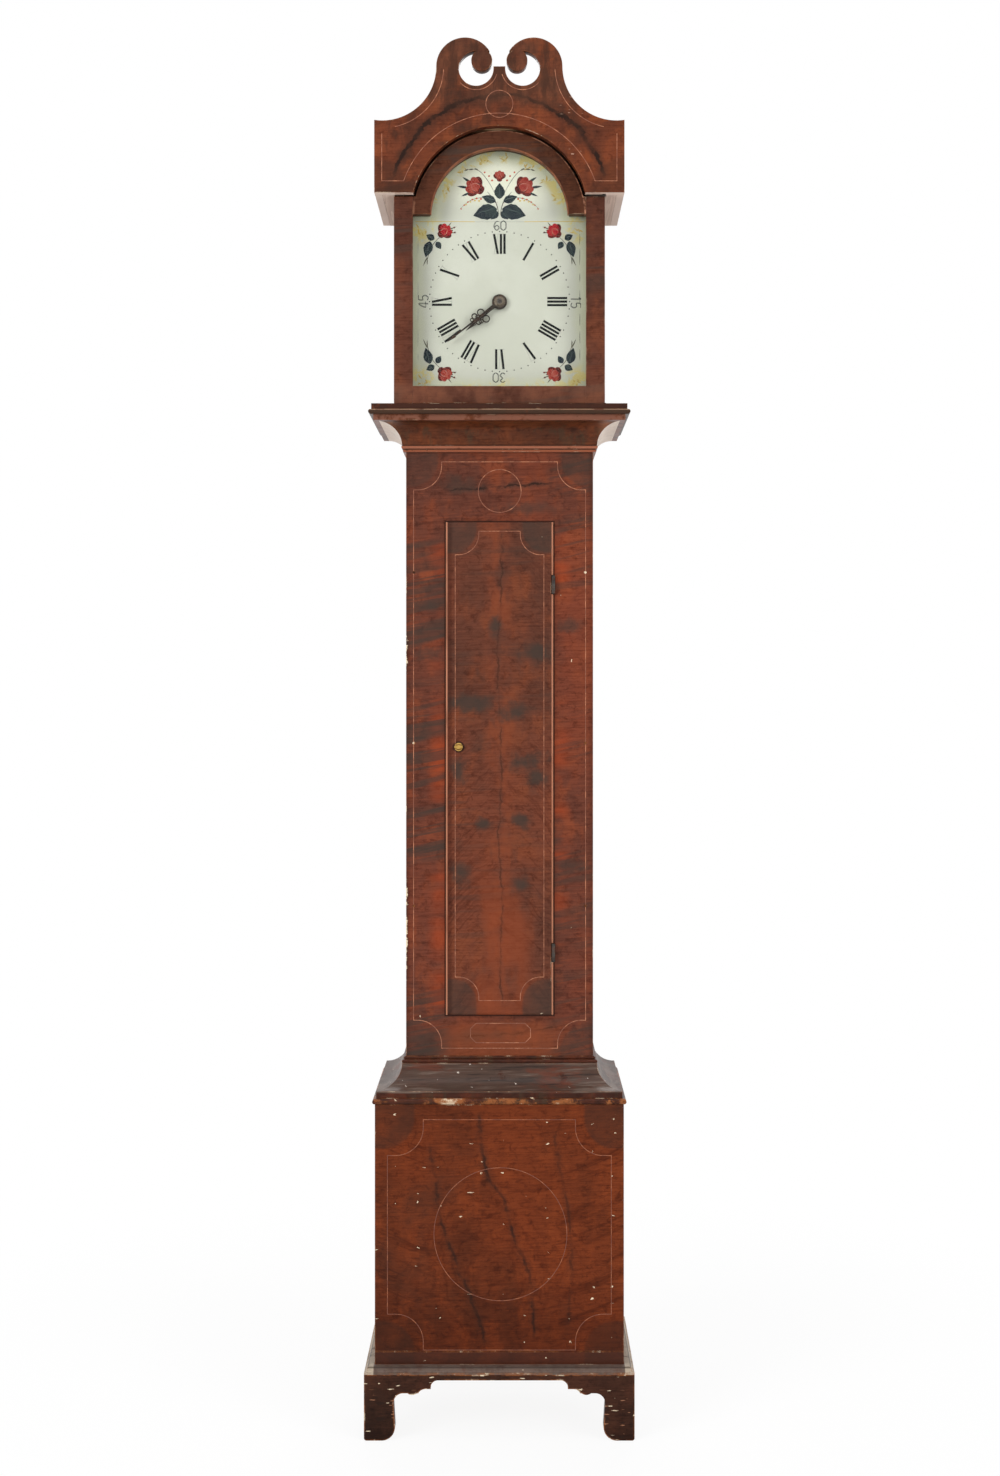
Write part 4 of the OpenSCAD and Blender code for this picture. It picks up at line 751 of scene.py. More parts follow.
def door_paint():
    p = GrainPaint("door_grain", (110, 60, 43), (124, 66, 42), (88, 53, 41), 3.0, GREY_SMOKE, 0.42)
    bend = p.cloud((16, 16, 9), shift=3)
    bow = p.fma(p.mul(p.x, p.x), 9, p.z)
    bow = p.fma(bend, 0.07, bow)
    ripple = p.noise(p.vector(p.mul(p.x, 11), 0.0, p.mul(bow, 105)), detail=4, distortion=0.8)
    lower = p.ramp(p.z, 1.2, 0.95, 0.45, 1.0)
    p.shade(p.many(p.ramp(ripple, 0.48, 0.66), lower), (150, 122, 114), 0.4)
    column = p.ramp(p.fma(bend, 0.03, p.aside), 0.046, 0.022)
    p.lay(p.many(column, p.ramp(p.fine, 0.35, 0.65)), (128, 64, 40), 0.5)
    p.bands(3, (5, 5, 70), 0.50, 0.66, 0.35)
    p.smoke((14, 14, 10), 0.55, 0.72, 0.5)
    p.smudges([(-50, 1166, 46, 20), (-8, 1290, 12, 22), (62, 1246, 32, 18), (44, 1070, 36, 18),
        (60, 1046, 20, 22), (32, 976, 24, 15), (-24, 970, 14, 12), (-62, 891, 24, 18), (-66, 1060, 18, 24),
        (22, 1151, 28, 17), (34, 876, 18, 12)], 0.85)
    lower_red = p.many(p.ramp(p.z, 0.98, 0.80), p.ramp(p.aside, 0.066, 0.03), p.ramp(bend, 0.35, 0.6))
    p.lay(lower_red, (136, 64, 36), 0.5)
    p.streak([(670, 6), (760, 1), (850, 4), (950, -1), (1050, 3), (1150, 0), (1250, -3), (1350, 3),
        (1450, 2)], 2.2, 0.45)
    p.corner_smoke(DOOR_LINE, 76, 4, 40, 0.62)
    p.shade(p.ramp(p.x, -74 * MM, -80 * MM), (160, 138, 132), 0.5)
    # A painted highlight along the rounded lip on both sides of the door.
    lip = p.ramp(p.cloud(12, shift=8), 0.3, 0.5, 0.5, 0.85)
    p.lay(p.many(p.ramp(p.aside, DOOR_HW - 3.2 * MM, DOOR_HW - 2.0 * MM), lip), (196, 132, 102))
    knob = p.away(KNOB.x, KNOB.z)
    p.lay(p.many(p.ramp(knob, 10.5 * MM, 8.5 * MM), p.ramp(p.fine, 0.3, 0.5, 0.6, 1.0)), INK, 0.8)
    p.wear(0.55, 0.014, 0.0014)
    p.raw_inside(p.above(p.y, high("trunk_door").y - 0.5 * MM))
    return p.done()


def scroll_paint():
    p = GrainPaint("scroll_grain", (108, 56, 36), (130, 68, 40), (76, 42, 30), 6.0, None, 0.3)
    round_dial = p.length(p.mul(p.x, 1.07), p.sub(p.z, ARCH_Z))
    wobble = p.cloud(24, 5, 0.7)
    ring = p.gap(p.fma(wobble, 0.030, round_dial), RING_R)
    pieces = p.ramp(p.cloud(22, shift=4), 0.34, 0.46, 0.2, 1.0)
    above = p.ramp(p.z, RING_FROM, RING_FROM + 0.025)
    patch = p.cloud((11, 11, 13), 5, 0.65, (8, 2, 5), distortion=0.5)
    p.lay(p.ramp(patch, 0.54, 0.66), (128, 64, 35), 0.65)
    p.lay(p.ramp(patch, 0.48, 0.36), SMOKE, 0.7)
    p.smudges([(-40, 2078, 34, 9), (60, 2066, 22, 7), (-150, 2040, 16, 12), (140, 2020, 18, 10)], 0.7)
    p.lay(p.many(p.ramp(ring, 0.014, 0.0), above), SMOKE, 0.6)
    p.lay(p.many(p.ramp(ring, 0.0046, 0.0016), pieces, above), INK, 0.95)
    neck = p.ramp(p.z, NECK_FROM, NECK_FROM + 0.04)
    p.lay(p.many(neck, p.ramp(p.fine, 0.3, 0.6)), (98, 62, 46), 0.5)
    soot = p.cloud((44, 44, 9), 5, 0.65, 2)
    p.lay(p.many(neck, p.ramp(soot, 0.46, 0.60)), SMOKE, 0.75)
    p.smoke((16, 16, 6), 0.52, 0.68, 0.45)
    p.bands(0, (3, 3, 40), 0.55, 0.68, 0.3)
    low_corner = p.length(p.sub(BOX_HW, p.aside), p.sub(p.z, BOX_Z))
    p.lay(p.ramp(low_corner, 0.062, 0.05), SMOKE, 0.5)
    p.bare_underside(BOX_Z)
    p.wear(0.5, 0.014, 0.0016)
    scuff = p.flakes(0.009, 0.5, 0.0013, (0.5, 1.6), 9.0)
    shoulder = p.ramp(p.away(*SHOULDER_SCUFF), 0.026, 0.012)
    edge = p.ramp(p.away(*ARCH_SCUFF), 0.016, 0.006)
    p.lay(p.many(scuff, p.either(shoulder, edge)), (196, 160, 138), 0.7)
    return p.done()


def hood_paint(name, seed, red=HOOD_RED, orange=HOOD_ORANGE, deep=HOOD_DEEP, lit=False, raw=False):
    p = GrainPaint(name, red, orange, deep, seed, GREY_SMOKE, 0.35)
    p.bands(4, (4, 4, 60), 0.51, 0.63, 0.6)
    p.smoke((9, 9, 7), 0.54, 0.68, 0.5)
    if lit:
        # Painted highlights round the hood door's opening.
        sight_lip_highlights(p)
    rail = p.ramp(p.z, SIGHT_Z + 0.010, SIGHT_Z - 0.004)
    p.lay(p.many(rail, p.ramp(p.fine, 0.3, 0.6)), (122, 80, 62), 0.4)
    p.bare_underside(BOX_Z)
    p.wear(0.35, 0.008, 0.0016)
    if raw:
        p.raw_inside(p.below(p.aside, HOOD_HW - HOOD_BOARD + 0.5 * MM))
    return p.done()


def sight_lip_highlights(p):
    """The rounded lip round the hood door's opening, rubbed and painted paler as a painted highlight, and a
    painted highlight along the arch's outer edge, stronger to the right.
    """
    away = p.length(p.x, p.sub(p.z, ARCH_Z))
    rub = p.cloud(30, 5, 0.7, (6, 2, 2))
    inner = p.gap(away, SIGHT_R)
    # The inner lip, painted paler: a painted highlight mixed with rubbing.
    p.lay(p.many(p.ramp(inner, 2.4 * MM, 1.2 * MM), p.ramp(rub, 0.3, 0.6)), (150, 94, 68), 0.6)
    # A painted highlight on the arch's outer edge, stronger to the right.
    outer = p.gap(away, ARCH_OUT_R)
    right = p.ramp(p.x, -0.05, 0.03, 0.35, 1.0)
    p.lay(p.many(p.ramp(outer, 2.2 * MM, 1.0 * MM), p.ramp(rub, 0.42, 0.56), right), (176, 124, 98), 0.7)


CAP_TONES = (MOULDING, (98, 48, 30), (62, 34, 25))
HOOD_CAP_TONES = ((100, 54, 32), (120, 62, 34), (80, 44, 28))


def moulding_paint(name, zones, seed, tones=CAP_TONES):
    """Dark red moulding. Zones are (low z, high z, colour, strength, share covered) in millimetres; they
    hold wear, dust, and painted light and shade.
    """
    p = GrainPaint(name, *tones, seed)
    p.lay(p.ramp(p.cloud((14, 14, 30), 5, 0.65, (seed, 2, 2)), 0.5, 0.72), MOULDING_DARK, 0.6)
    p.lay(p.ramp(p.cloud((46, 46, 5), 5, 0.7, (seed, 3, 1)), 0.52, 0.66), (60, 52, 38), 0.5)
    for start, end, colour, strength, share in zones:
        # Each zone, wear as well as painted light and shade, is broken up by noise.
        rub = p.cloud(22, 6, 0.72, (start, 1, 1))
        worn = p.ramp(rub, 0.62 - share * 0.3, 0.7 - share * 0.3)
        p.lay(p.many(p.heights(start, end), worn), colour, strength)
    return p


def streaked_cove(p, start, end):
    """Long streaks along a cove, pale ones of dust and painted sheen and dark ones, with red patches and
    pale flecks.
    """
    cove = p.heights(start, end)
    band = p.cloud((6, 6, 120), 5, 0.7, (p.seed, 5, 2), 1.5)
    patch = p.cloud((9, 9, 30), 5, 0.65, (p.seed, 7, 7))
    p.lay(p.many(cove, p.ramp(patch, 0.50, 0.62)), (98, 52, 38), 0.7)
    # Pale streaks of dust and painted sheen, then dark streaks.
    p.lay(p.many(cove, p.ramp(band, 0.50, 0.62)), (118, 102, 92), 0.6)
    p.lay(p.many(cove, p.ramp(band, 0.47, 0.36)), (42, 34, 31), 0.75)
    p.lay(p.many(cove, p.flakes(0.016, 0.28, 0.0010, (0.8, 1.2), 4.0)), (214, 202, 190), 0.85)


def bare_returns(p, start, end):
    """Bare wood on a cove where it returns along the sides, and a painted highlight on the cove's front
    near the mitres.
    """
    behind = p.above(p.plus(p.aside, p.y), WAIST_HW + WAIST_Y + 0.001)
    cove = p.heights(start, end)
    sawn = p.cloud((200, 200, 14), rough=0.65, shift=1)
    p.lay(p.many(cove, behind, p.ramp(sawn, 0.25, 0.55, 0.72, 0.96)), (226, 206, 188))
    # A painted highlight near the mitres.
    near = p.ramp(p.aside, WAIST_HW + 0.004, WAIST_HW + 0.022)
    front = p.many(p.sub(1.0, behind), cove)
    p.lay(p.many(front, near, p.ramp(p.fine, 0.3, 0.6)), (164, 110, 80), 0.6)


def base_cap_paint():
    top = BASE_TOP / MM
    # The nose is rubbed to red and bare wood; the cove's grey zone is part dust and part painted sheen.
    p = moulding_paint("base_cap_paint", [(top - 1, top + 9.2, RUBBED, 0.8, 0.45),
        (top - 1, top + 9.2, BARE, 0.9, 0.10), (top + 18, top + 58, (78, 62, 54), 0.8, 0.9)], 11.0)
    streaked_cove(p, top + 17, top + 58)
    p.wear(0.6, 0.10, 0.0014, (1, 1.5), 0.002)
    return p.done(0.34, 0.10)


def waist_cap_paint():
    cap = WAIST_TOP / MM
    # Painted light and shade along the profile: the beads, which face down, are painted lighter, with dark
    # painted shade in the hollows between them, and the upper steps carry thin painted highlights and dark
    # painted shade.
    zones = ((-1, 3.6, (146, 84, 60), 0.8, 1.0), (3.6, 5.2, INK, 0.8, 1.0),
        (5.2, 9.8, (160, 100, 76), 0.8, 1.0), (9.8, 11.4, INK, 0.9, 1.0),
        (45, 54, (128, 84, 68), 0.75, 0.6), (54, 60.4, (56, 42, 32), 0.85, 1.0),
        (60.4, 62, (170, 138, 108), 0.6, 0.8), (62, 72, (48, 28, 22), 0.85, 1.0))
    p = moulding_paint("waist_cap_paint", [(cap + z[0], cap + z[1], *z[2:]) for z in zones], 12.0,
        HOOD_CAP_TONES)
    p.wear(0.22, 0.03, 0.0013, (1, 1.5), 0.002)
    bare_returns(p, cap + 11.5, cap + 45)
    return p.done(0.34, 0.10)


def plinth_paint():
    """Dust and a painted sheen of light from above on top, and rubbed to the wood where it returns along
    the sides.
    """
    p = GrainPaint("plinth_paint", *CAP_TONES, 13.0)
    # Dust and a painted sheen on the top faces, in patches.
    upper = p.ramp(p.z, PLINTH_DUST_SHEEN_FROM, PLINTH_DUST_SHEEN_FROM + 6 * MM)
    dust_and_sheen_patches = p.ramp(p.cloud(60, 5, 0.7), 0.3, 0.6, 0.45, 1.0)
    p.lay(p.many(upper, dust_and_sheen_patches), DUST_AND_SHEEN, 0.7)
    beside = p.ramp(p.aside, BASE_HW + 0.5 * MM, BASE_HW + 2 * MM)
    scuffed = p.ramp(p.cloud(34, 5, 0.7, 3), 0.36, 0.5)
    p.lay(p.many(upper, beside, scuffed), (206, 190, 168), 0.6)
    seam = p.gap(p.z, PLINTH_SEAM)
    p.lay(p.ramp(seam, 1.6 * MM, 0.6 * MM), INK, 0.7)
    p.wear(1.0, 0.14, 0.0018, (1, 1.3), 0.003)
    return p.done(0.4, 0.1)


def foot_paint():
    p = GrainPaint("foot_paint", FOOT, (80, 46, 32), FOOT_DARK, 8.0)
    p.smoke((12, 12, 12), 0.5, 0.7, 0.6)
    p.shade(p.ramp(p.z, 0.03, 0.0), (150, 130, 120), 0.6)
    low_part = p.ramp(p.z, 0.088, 0.06)
    scuffs = p.flakes(0.010, 0.42, 0.0014, (0.3, 1.8), 3.0)
    p.lay(p.many(scuffs, low_part), (166, 116, 88), 0.8)
    dark = p.flakes(0.016, 0.35, 0.004, (0.5, 1.2), 5.0)
    p.lay(p.many(dark, low_part), INK, 0.6)
    p.wear(1.0, 0.34, 0.0015, (0.7, 1.3), 0.0045)
    p.scrapes(0.40, 0.0011, 0.015, (0.3, 1.8))
    return p.done(0.42, 0.05)


# The dial and what is painted on it

def sight_depth(s):
    """How far a place lies inside the arched opening of the door."""
    below = s.sub(s.z, SIGHT_Z)
    aside = s.sub(SIGHT_HW, s.aside)
    over = s.sub(ARCH_Z + 4 * MM, s.z)
    square = s.least(s.least(below, aside), over)
    arch = s.sub(SIGHT_R, s.length(s.x, s.sub(s.z, ARCH_Z)))
    return s.either(square, arch)


def dial_paint():
    s = Shader("dial_ground")
    speck = s.cloud(160, rough=0.7)
    s.colour = s.mix(s.ramp(s.cloud(9, 5, 0.6), 0.35, 0.65), (207, 210, 195), (199, 202, 186))
    # Painted light: the arch is painted paler against the shade that the deep door frame casts on it.
    s.lay(s.ramp(s.z, ARCH_Z + 0.01, ARCH_Z + 0.06), (234, 236, 214), 0.9)
    s.lay(s.ramp(speck, 0.58, 0.72), (192, 192, 176), 0.35)
    depth = sight_depth(s)
    # A yellow-green border along the opening, painted pale as painted light against the frame's shade.
    edge = s.fma(s.cloud(26), 0.02, s.sub(depth, 0.01))
    s.lay(s.ramp(edge, 0.024, 0.004), (206, 210, 176), 0.6)
    s.lay(s.ramp(edge, 0.008, 0.001), (186, 190, 156), 0.5)
    worn_gold(s, depth)
    crackle = s.add("ShaderNodeTexVoronoi", {"Vector": s.stretched(110), "Scale": 1.0},
        feature="DISTANCE_TO_EDGE")
    crack = s.many(s.ramp(crackle.outputs["Distance"], 0.018, 0.0),
        s.ramp(s.cloud(12, shift=7), 0.52, 0.66))
    s.lay(crack, (150, 148, 130), 0.35)
    s.lay(s.above(s.y, DIAL_Y + 0.5 * MM), PINE)
    height = s.fma(speck, 0.4, s.sub(1.0, crack))
    return s.finish(s.colour, 0.45, height=height, bump=0.00008, specular=0.15)


def worn_gold(s, depth):
    """What is left of yellow paint in the corners, at the foot and along the arch."""
    aside = s.sub(SIGHT_HW - 0.012, s.aside)
    level = s.sub(s.gap(s.z, (SIGHT_Z + ARCH_Z) / 2), (ARCH_Z - SIGHT_Z) / 2 - 0.012)
    corner = s.ramp(s.length(aside, level), 0.034, 0.010)
    foot = s.many(s.ramp(s.z, SIGHT_Z + 0.020, SIGHT_Z + 0.008), 0.7)
    arch = s.many(s.above(s.z, ARCH_Z + 0.012), s.ramp(depth, 0.019, 0.009))
    rubbed = s.cloud(46, 5, 0.7, (2, 9, 4), distortion=0.5)
    gold = s.many(s.either(corner, s.either(foot, arch)), s.ramp(rubbed, 0.49, 0.57))
    s.lay(gold, (220, 202, 110), 0.75)


def pigment(name, colour, second):
    """Brushed pigment: two tones in fine strokes, thin in places."""
    s = Shader(name)
    stroke = s.cloud((260, 260, 90), rough=0.6, tilt=30)
    tone = s.mix(s.ramp(stroke, 0.38, 0.66), colour, second)
    return s.finish(tone, 0.5, height=stroke, bump=0.00004, specular=0.1)


PATCH_DOME = 0.04 * MM
LEAF_STEPS = 14
LEAF_TEETH = 9


class Painter:
    """Collects painted shapes on the dial, one mesh for each pigment. Sizes are millimetres."""

    def __init__(self, y):
        self.y = y
        self.meshes = {}

    def mesh(self, pen):
        return self.meshes.setdefault(pen, bmesh.new())

    def patch(self, pen, x, z, turn, lift, outline):
        """A patch whose outline is turned in degrees and moved to a place."""
        c, s = math.cos(math.radians(turn)), math.sin(math.radians(turn))
        placed = [(x + u * c - v * s, z + u * s + v * c) for u, v in outline]
        patch_mesh(self.mesh(pen), metres(placed), self.y, lift * MM, PATCH_DOME)

    def oval(self, pen, x, z, a, b, turn=0.0, lift=0.10, lobes=0, depth=0.0, count=28):
        outline = []
        for i in range(count):
            t = 2 * math.pi * i / count
            r = 1 + depth * math.cos(lobes * t)
            outline.append((a * r * math.cos(t), b * r * math.sin(t)))
        self.patch(pen, x, z, turn, lift, outline)

    def leaf(self, pen, x, z, length, width, turn, lift=0.10, notch=0.0):
        """A pointed leaf that starts at a place and runs in a direction in degrees."""
        outline = []
        for side in (1, -1):
            for i in range(LEAF_STEPS):
                t = i / LEAF_STEPS if side == 1 else 1 - i / LEAF_STEPS
                saw = 1 + notch * math.sin(t * math.pi * LEAF_TEETH)
                outline.append((length * t, side * width / 2 * math.sin(math.pi * t ** 0.8) * saw))
        self.patch(pen, x, z, turn, lift, outline)

    def line(self, pen, points, widths, lift):
        ribbon_mesh(self.mesh(pen), metres(points), self.y, widths, lift * MM, False)

    def stroke(self, pen, points, width=0.8, lift=0.08, taper=True):
        """A brush stroke through points, thin at both ends where it tapers."""
        path = smooth_path(points)
        n = len(path) - 1
        widths = [MM * width * (0.25 + 0.75 * math.sin(math.pi * i / n) if taper else 1.0)
            for i in range(n + 1)]
        self.line(pen, path, widths, lift)

    def done(self, materials):
        for pen, bm in self.meshes.items():
            piece(f"dial_{pen}", bm, "case", materials[pen])


def smooth_path(points, steps=7):
    """A Catmull-Rom curve through points."""
    ends = [points[0]] + list(points) + [points[-1]]
    path = []
    for i in range(1, len(ends) - 2):
        p0, p1, p2, p3 = ends[i - 1:i + 3]
        for k in range(steps):
            t = k / steps
            path.append(tuple(0.5 * (2 * b + (c - a) * t + (2 * a - 5 * b + 4 * c - d) * t * t
                + (3 * b - a - 3 * c + d) * t ** 3) for a, b, c, d in zip(p0, p1, p2, p3)))
    path.append(tuple(points[-1]))
    return path


NUMERALS = ["XII", "I", "II", "III", "IIII", "V", "VI", "VII", "VIII", "IX", "X", "XI"]
RING_UP = 1.5
NUMERAL_IN = 77
NUMERAL_OUT = 109
MINUTE_R = 113
THICK = 3.7
THIN = 0.7
SERIF = 0.5

# Each letter's width, and its strokes as (across, up), (across, up), width, with up from 0 to 1
GLYPHS = {
    "I": (5.7, [((2.85, 0), (2.85, 1), THICK)]),
    "V": (10.8, [((1.8, 1), (5.4, 0), THICK), ((6.0, 0.02), (9.2, 1), THIN)]),
    "X": (10.2, [((1.8, 1), (8.0, 0), THICK), ((1.8, 0), (8.4, 1), THIN)]),
}


def numeral_strokes(text):
    """The strokes of a Roman numeral between its two serif lines, centred across."""
    at = -sum(GLYPHS[c][0] for c in text) / 2
    strokes = [((at, up), (-at, up), SERIF) for up in (0, 1)]
    for c in text:
        width, lines = GLYPHS[c]
        strokes += [((at + a[0], a[1]), (at + b[0], b[1]), pen) for a, b, pen in lines]
        at += width
    return strokes


def on_ring(hours, across, r):
    """A place on the dial, from the hour's direction, clockwise across it and out from the centre."""
    a = math.radians(30 * hours)
    x = r * math.sin(a) + across * math.cos(a)
    z = r * math.cos(a) - across * math.sin(a)
    return (x, CENTRE.z / MM + RING_UP + z)


def chapter_ring(art):
    for hour, text in enumerate(NUMERALS):
        for a, b, width in numeral_strokes(text):
            ends = [on_ring(hour, p[0], NUMERAL_IN + p[1] * (NUMERAL_OUT - NUMERAL_IN)) for p in (a, b)]
            pen, lift = ("ink", 0.10) if width == THICK else ("faded", 0.08)
            art.line(pen, ends, width * MM, lift)
    for minute in range(60):
        art.oval("ink", *on_ring(minute / 5, 0, MINUTE_R), 1.05, 1.05, count=8, lift=0.08)


# Each digit's line, as (across, up) from -0.5 to 0.5 and from 0 to 1
DIGITS = {
    "0": [(0, 1), (-0.36, 0.8), (-0.4, 0.5), (-0.36, 0.2), (0, 0), (0.36, 0.2), (0.4, 0.5), (0.36, 0.8),
          (0, 1)],
    "1": [(-0.12, 0.82), (0.08, 1), (0.08, 0)],
    "3": [(-0.34, 0.86), (0, 1), (0.32, 0.8), (0.02, 0.56), (0.36, 0.28), (0, 0), (-0.36, 0.14)],
    "4": [(0.14, 0), (0.14, 1), (-0.4, 0.3), (0.42, 0.3)],
    "5": [(0.34, 1), (-0.26, 1), (-0.3, 0.56), (0.1, 0.62), (0.36, 0.34), (0.06, 0), (-0.36, 0.12)],
    "6": [(0.3, 0.95), (-0.12, 0.86), (-0.38, 0.4), (0, 0), (0.36, 0.26), (0.06, 0.52), (-0.32, 0.3)],
}


def quarter_numbers(art):
    """Faded pen numbers at the quarters, with their tops outward. Each line is drawn double."""
    height, width, pitch, foot_r, double = 15.5, 10.5, 11.0, 115.0, 1.3
    for hour, text in ((0, "60"), (3, "15"), (6, "30"), (9, "45")):
        for i, digit in enumerate(text):
            for inset in (0.0, double):
                middle = (i - 0.5) * pitch
                points = [on_ring(hour, middle + u * width + inset, foot_r + v * height)
                          for u, v in DIGITS[digit]]
                art.stroke("pen", points, 0.75, 0.07, taper=False)


def rosebud(art, x, z, size, turn, bright="rose", deep="rose_dark"):
    """A small rose seen from the side: outer petals, a cup, and two thin highlights."""
    for angle, share in ((62, 0.95), (-62, 0.95), (34, 1.05), (-34, 1.05), (0, 1.12)):
        art.oval(deep if abs(angle) > 50 else bright, *polar(x, z, size * 0.42, turn + angle),
            size * 0.52 * share, size * 0.34, turn + angle, 0.10 + 0.001 * (70 - abs(angle)))
    art.oval(bright, *polar(x, z, size * 0.1, turn), size * 0.5, size * 0.46, turn, 0.20, 5, 0.06)
    for side in (-1, 1):
        aside = turn + 90 * side
        start = polar(x, z, size * 0.28, aside)
        end = polar(x, z, size * 0.62, turn)
        middle = polar((start[0] + end[0]) / 2, (start[1] + end[1]) / 2, size * 0.12, aside)
        art.stroke("blush", [start, middle, end], size * 0.07, 0.28)
        base = polar(x, z, -size * 0.3, turn)
        tip = polar(*polar(x, z, size * 0.46, turn), size * 0.2, aside)
        art.stroke(deep, [base, polar(x, z, size * 0.34, aside), tip], size * 0.13, 0.27)
    art.oval(deep, *polar(x, z, -size * 0.3, turn), size * 0.2, size * 0.34, turn, 0.26)


def berries(art, points, name="berry"):
    for i, (x, z) in enumerate(points):
        art.oval(name, x, z, 1.7 - 0.08 * i, 1.5 - 0.08 * i, 30 * i, 0.11, count=12)


def arch_flowers(art):
    """A spray in the dial's arch: two open roses and a bud over large dark leaves."""
    mid = ARCH_Z / MM
    for side in (-1, 1):
        def at(x, z):
            return (side * x, mid + z)

        def lean(angle):
            return angle if side == 1 else 180 - angle
        art.stroke("stem", [at(1, 10), at(6, 30), at(20, 48)], 1.4)
        art.stroke("stem", [at(3, 30), at(24, 38), at(46, 34), at(64, 20)], 0.8)
        art.stroke("stem", [at(4, 38), at(18, 64), at(34, 82), at(52, 84)], 0.8)
        for x, z, length, width, angle in ((4, 20, 40, 25, -16), (3, 16, 17, 12, -50), (6, 32, 24, 13, 20),
                (46, 62, 17, 4, 34), (50, 54, 19, 4, 8), (48, 46, 15, 3.4, -22)):
            art.leaf("leaf", *at(x, z), length, width, lean(angle), 0.10 + 0.0008 * length, 0.06)
        for x, z, length, angle in ((8, 21, 28, -16), (5, 15, 11, -50), (8, 34, 15, 20)):
            art.stroke("vein", [at(x, z), at(*polar(x, z, length, angle))], 0.6, 0.18)
        rosebud(art, *at(35, 53), 21, lean(30))
        berries(art, [at(30, 36), at(37, 37), at(44, 35), at(51, 31), at(57, 26), at(62, 20)])
        berries(art, [at(33, 33), at(40, 33.5), at(47, 31.5), at(54, 27)], "ochre")
        berries(art, [at(12, 66), at(17, 73), at(24, 79)])
        for x, z, angle in ((34, 82, 30), (42, 84, -4), (50, 84, -20)):
            art.leaf("tendril", *at(x, z), 8, 2.2, lean(angle))
    rosebud(art, 0, mid + 70, 12, 90)
    art.leaf("leaf", 0, mid + 36, 26, 17, 90, 0.13, 0.06)
    art.stroke("vein", [(0, mid + 38), (0, mid + 56)], 0.6, 0.18)


CORNER_X = 103
CORNER_UP = 97


def corner_flowers(art):
    """A rosebud on a bent stem with dark leaves and twigs in each corner of the dial."""
    for side in (-1, 1):
        for up in (1, -1):
            x0, z0 = side * CORNER_X, CENTRE.z / MM + up * CORNER_UP

            def at(u, v):
                return (x0 + side * u, z0 + up * v)

            def turn(angle):
                u, v = polar(0, 0, 1, angle)
                return math.degrees(math.atan2(v * up, u * side))
            art.stroke("stem", [at(-16, 16), at(-2, 4), at(8, -10), at(15, -34)], 1.0)
            for u, v, length, width, angle in ((9, 2, 27, 15, -74), (2, 5, 15, 11, 28),
                    (-1, 1, 14, 10, -122)):
                art.leaf("leaf", *at(u, v), length, width, turn(angle), 0.12, 0.03)
            for u, v, length, angle in ((10, -1, 18, -74), (5, 7, 8, 28)):
                art.stroke("vein", [at(u, v), at(*polar(u, v, length, angle))], 0.5, 0.17)
            rosebud(art, *at(-11, 15), 16.5, turn(138), "scarlet" if up > 0 else "rose", "rose_dark")
            for u, v, length, angle in ((-20, 20, 15, 158), (-18, 23, 13, 128), (-22, 16, 12, 184),
                    (14, -24, 16, -66), (14, -22, 15, -92)):
                art.leaf("tendril", *at(u, v), length, 1.8, turn(angle), 0.09)
            berries(art, [at(-26, 19), at(-30, 24), at(-31, 16)], "rose_dark")


BORDER_R = 101
BORDER_X = 125


def border_scrolls(art):
    """Small ochre strokes left of a worn border, in the corners and over the arch."""
    mid = ARCH_Z / MM
    low = SIGHT_Z / MM
    places = [polar(0, mid, BORDER_R, a) for a in (22, 41, 63, 84, 104, 126, 151)]
    places += [(side * BORDER_X, z) for side in (-1, 1) for z in (low + 12, mid - 14)]
    for x, z in places:
        for _ in range(5):
            art.leaf("ochre", x + random.uniform(-7, 7), z + random.uniform(-5, 5), random.uniform(4, 9),
                random.uniform(1.2, 2.6), random.uniform(0, 360), 0.08, 0.1)


def border_lines(art):
    """Broken pen lines down both sides of the dial."""
    low = SIGHT_Z / MM
    for x, pen, width in ((129.5, "pen", 0.8), (-131.5, "faded", 0.9)):
        z = low + 46
        while z < ARCH_Z / MM - 20:
            length = random.uniform(9, 30)
            bent = [(x + random.uniform(-0.5, 0.5), z), (x, z + length / 2), (x, z + length)]
            art.stroke(pen, bent, width, 0.06)
            z += length + random.uniform(4, 14)


def frame_lines(art):
    """The line between the dial's square and its arch."""
    mid = ARCH_Z / MM
    for side in (-1, 1):
        line = [(side * 136, mid - 0.6), (side * 90, mid - 0.3), (side * 40, mid - 0.8)]
        art.stroke("ochre", line, 1.0, 0.06, taper=False)
    art.stroke("faded", [(-40, mid - 0.8), (40, mid - 0.8)], 0.6, 0.06, taper=False)


# Two tones of each pigment on the dial
PIGMENTS = {
    "ink": ((18, 20, 20), (28, 30, 28)),
    "pen": ((36, 40, 42), (66, 70, 68)),
    "faded": ((150, 152, 142), (178, 180, 168)),
    "leaf": ((38, 46, 52), (52, 64, 62)),
    "vein": ((112, 124, 118), (86, 98, 94)),
    "stem": ((66, 60, 52), (90, 84, 66)),
    "tendril": ((82, 80, 66), (106, 102, 80)),
    "rose": ((146, 50, 42), (170, 80, 66)),
    "rose_dark": ((70, 30, 28), (112, 42, 36)),
    "scarlet": ((150, 24, 34), (172, 46, 46)),
    "blush": ((196, 132, 114), (176, 98, 84)),
    "berry": ((176, 66, 44), (196, 96, 56)),
    "ochre": ((208, 178, 84), (196, 176, 110)),
}


def paint_dial():
    art = Painter(DIAL_Y)
    chapter_ring(art)
    quarter_numbers(art)
    arch_flowers(art)
    corner_flowers(art)
    border_scrolls(art)
    border_lines(art)
    frame_lines(art)
    art.done({pen: pigment(f"dial_{pen}", *tones) for pen, tones in PIGMENTS.items()})


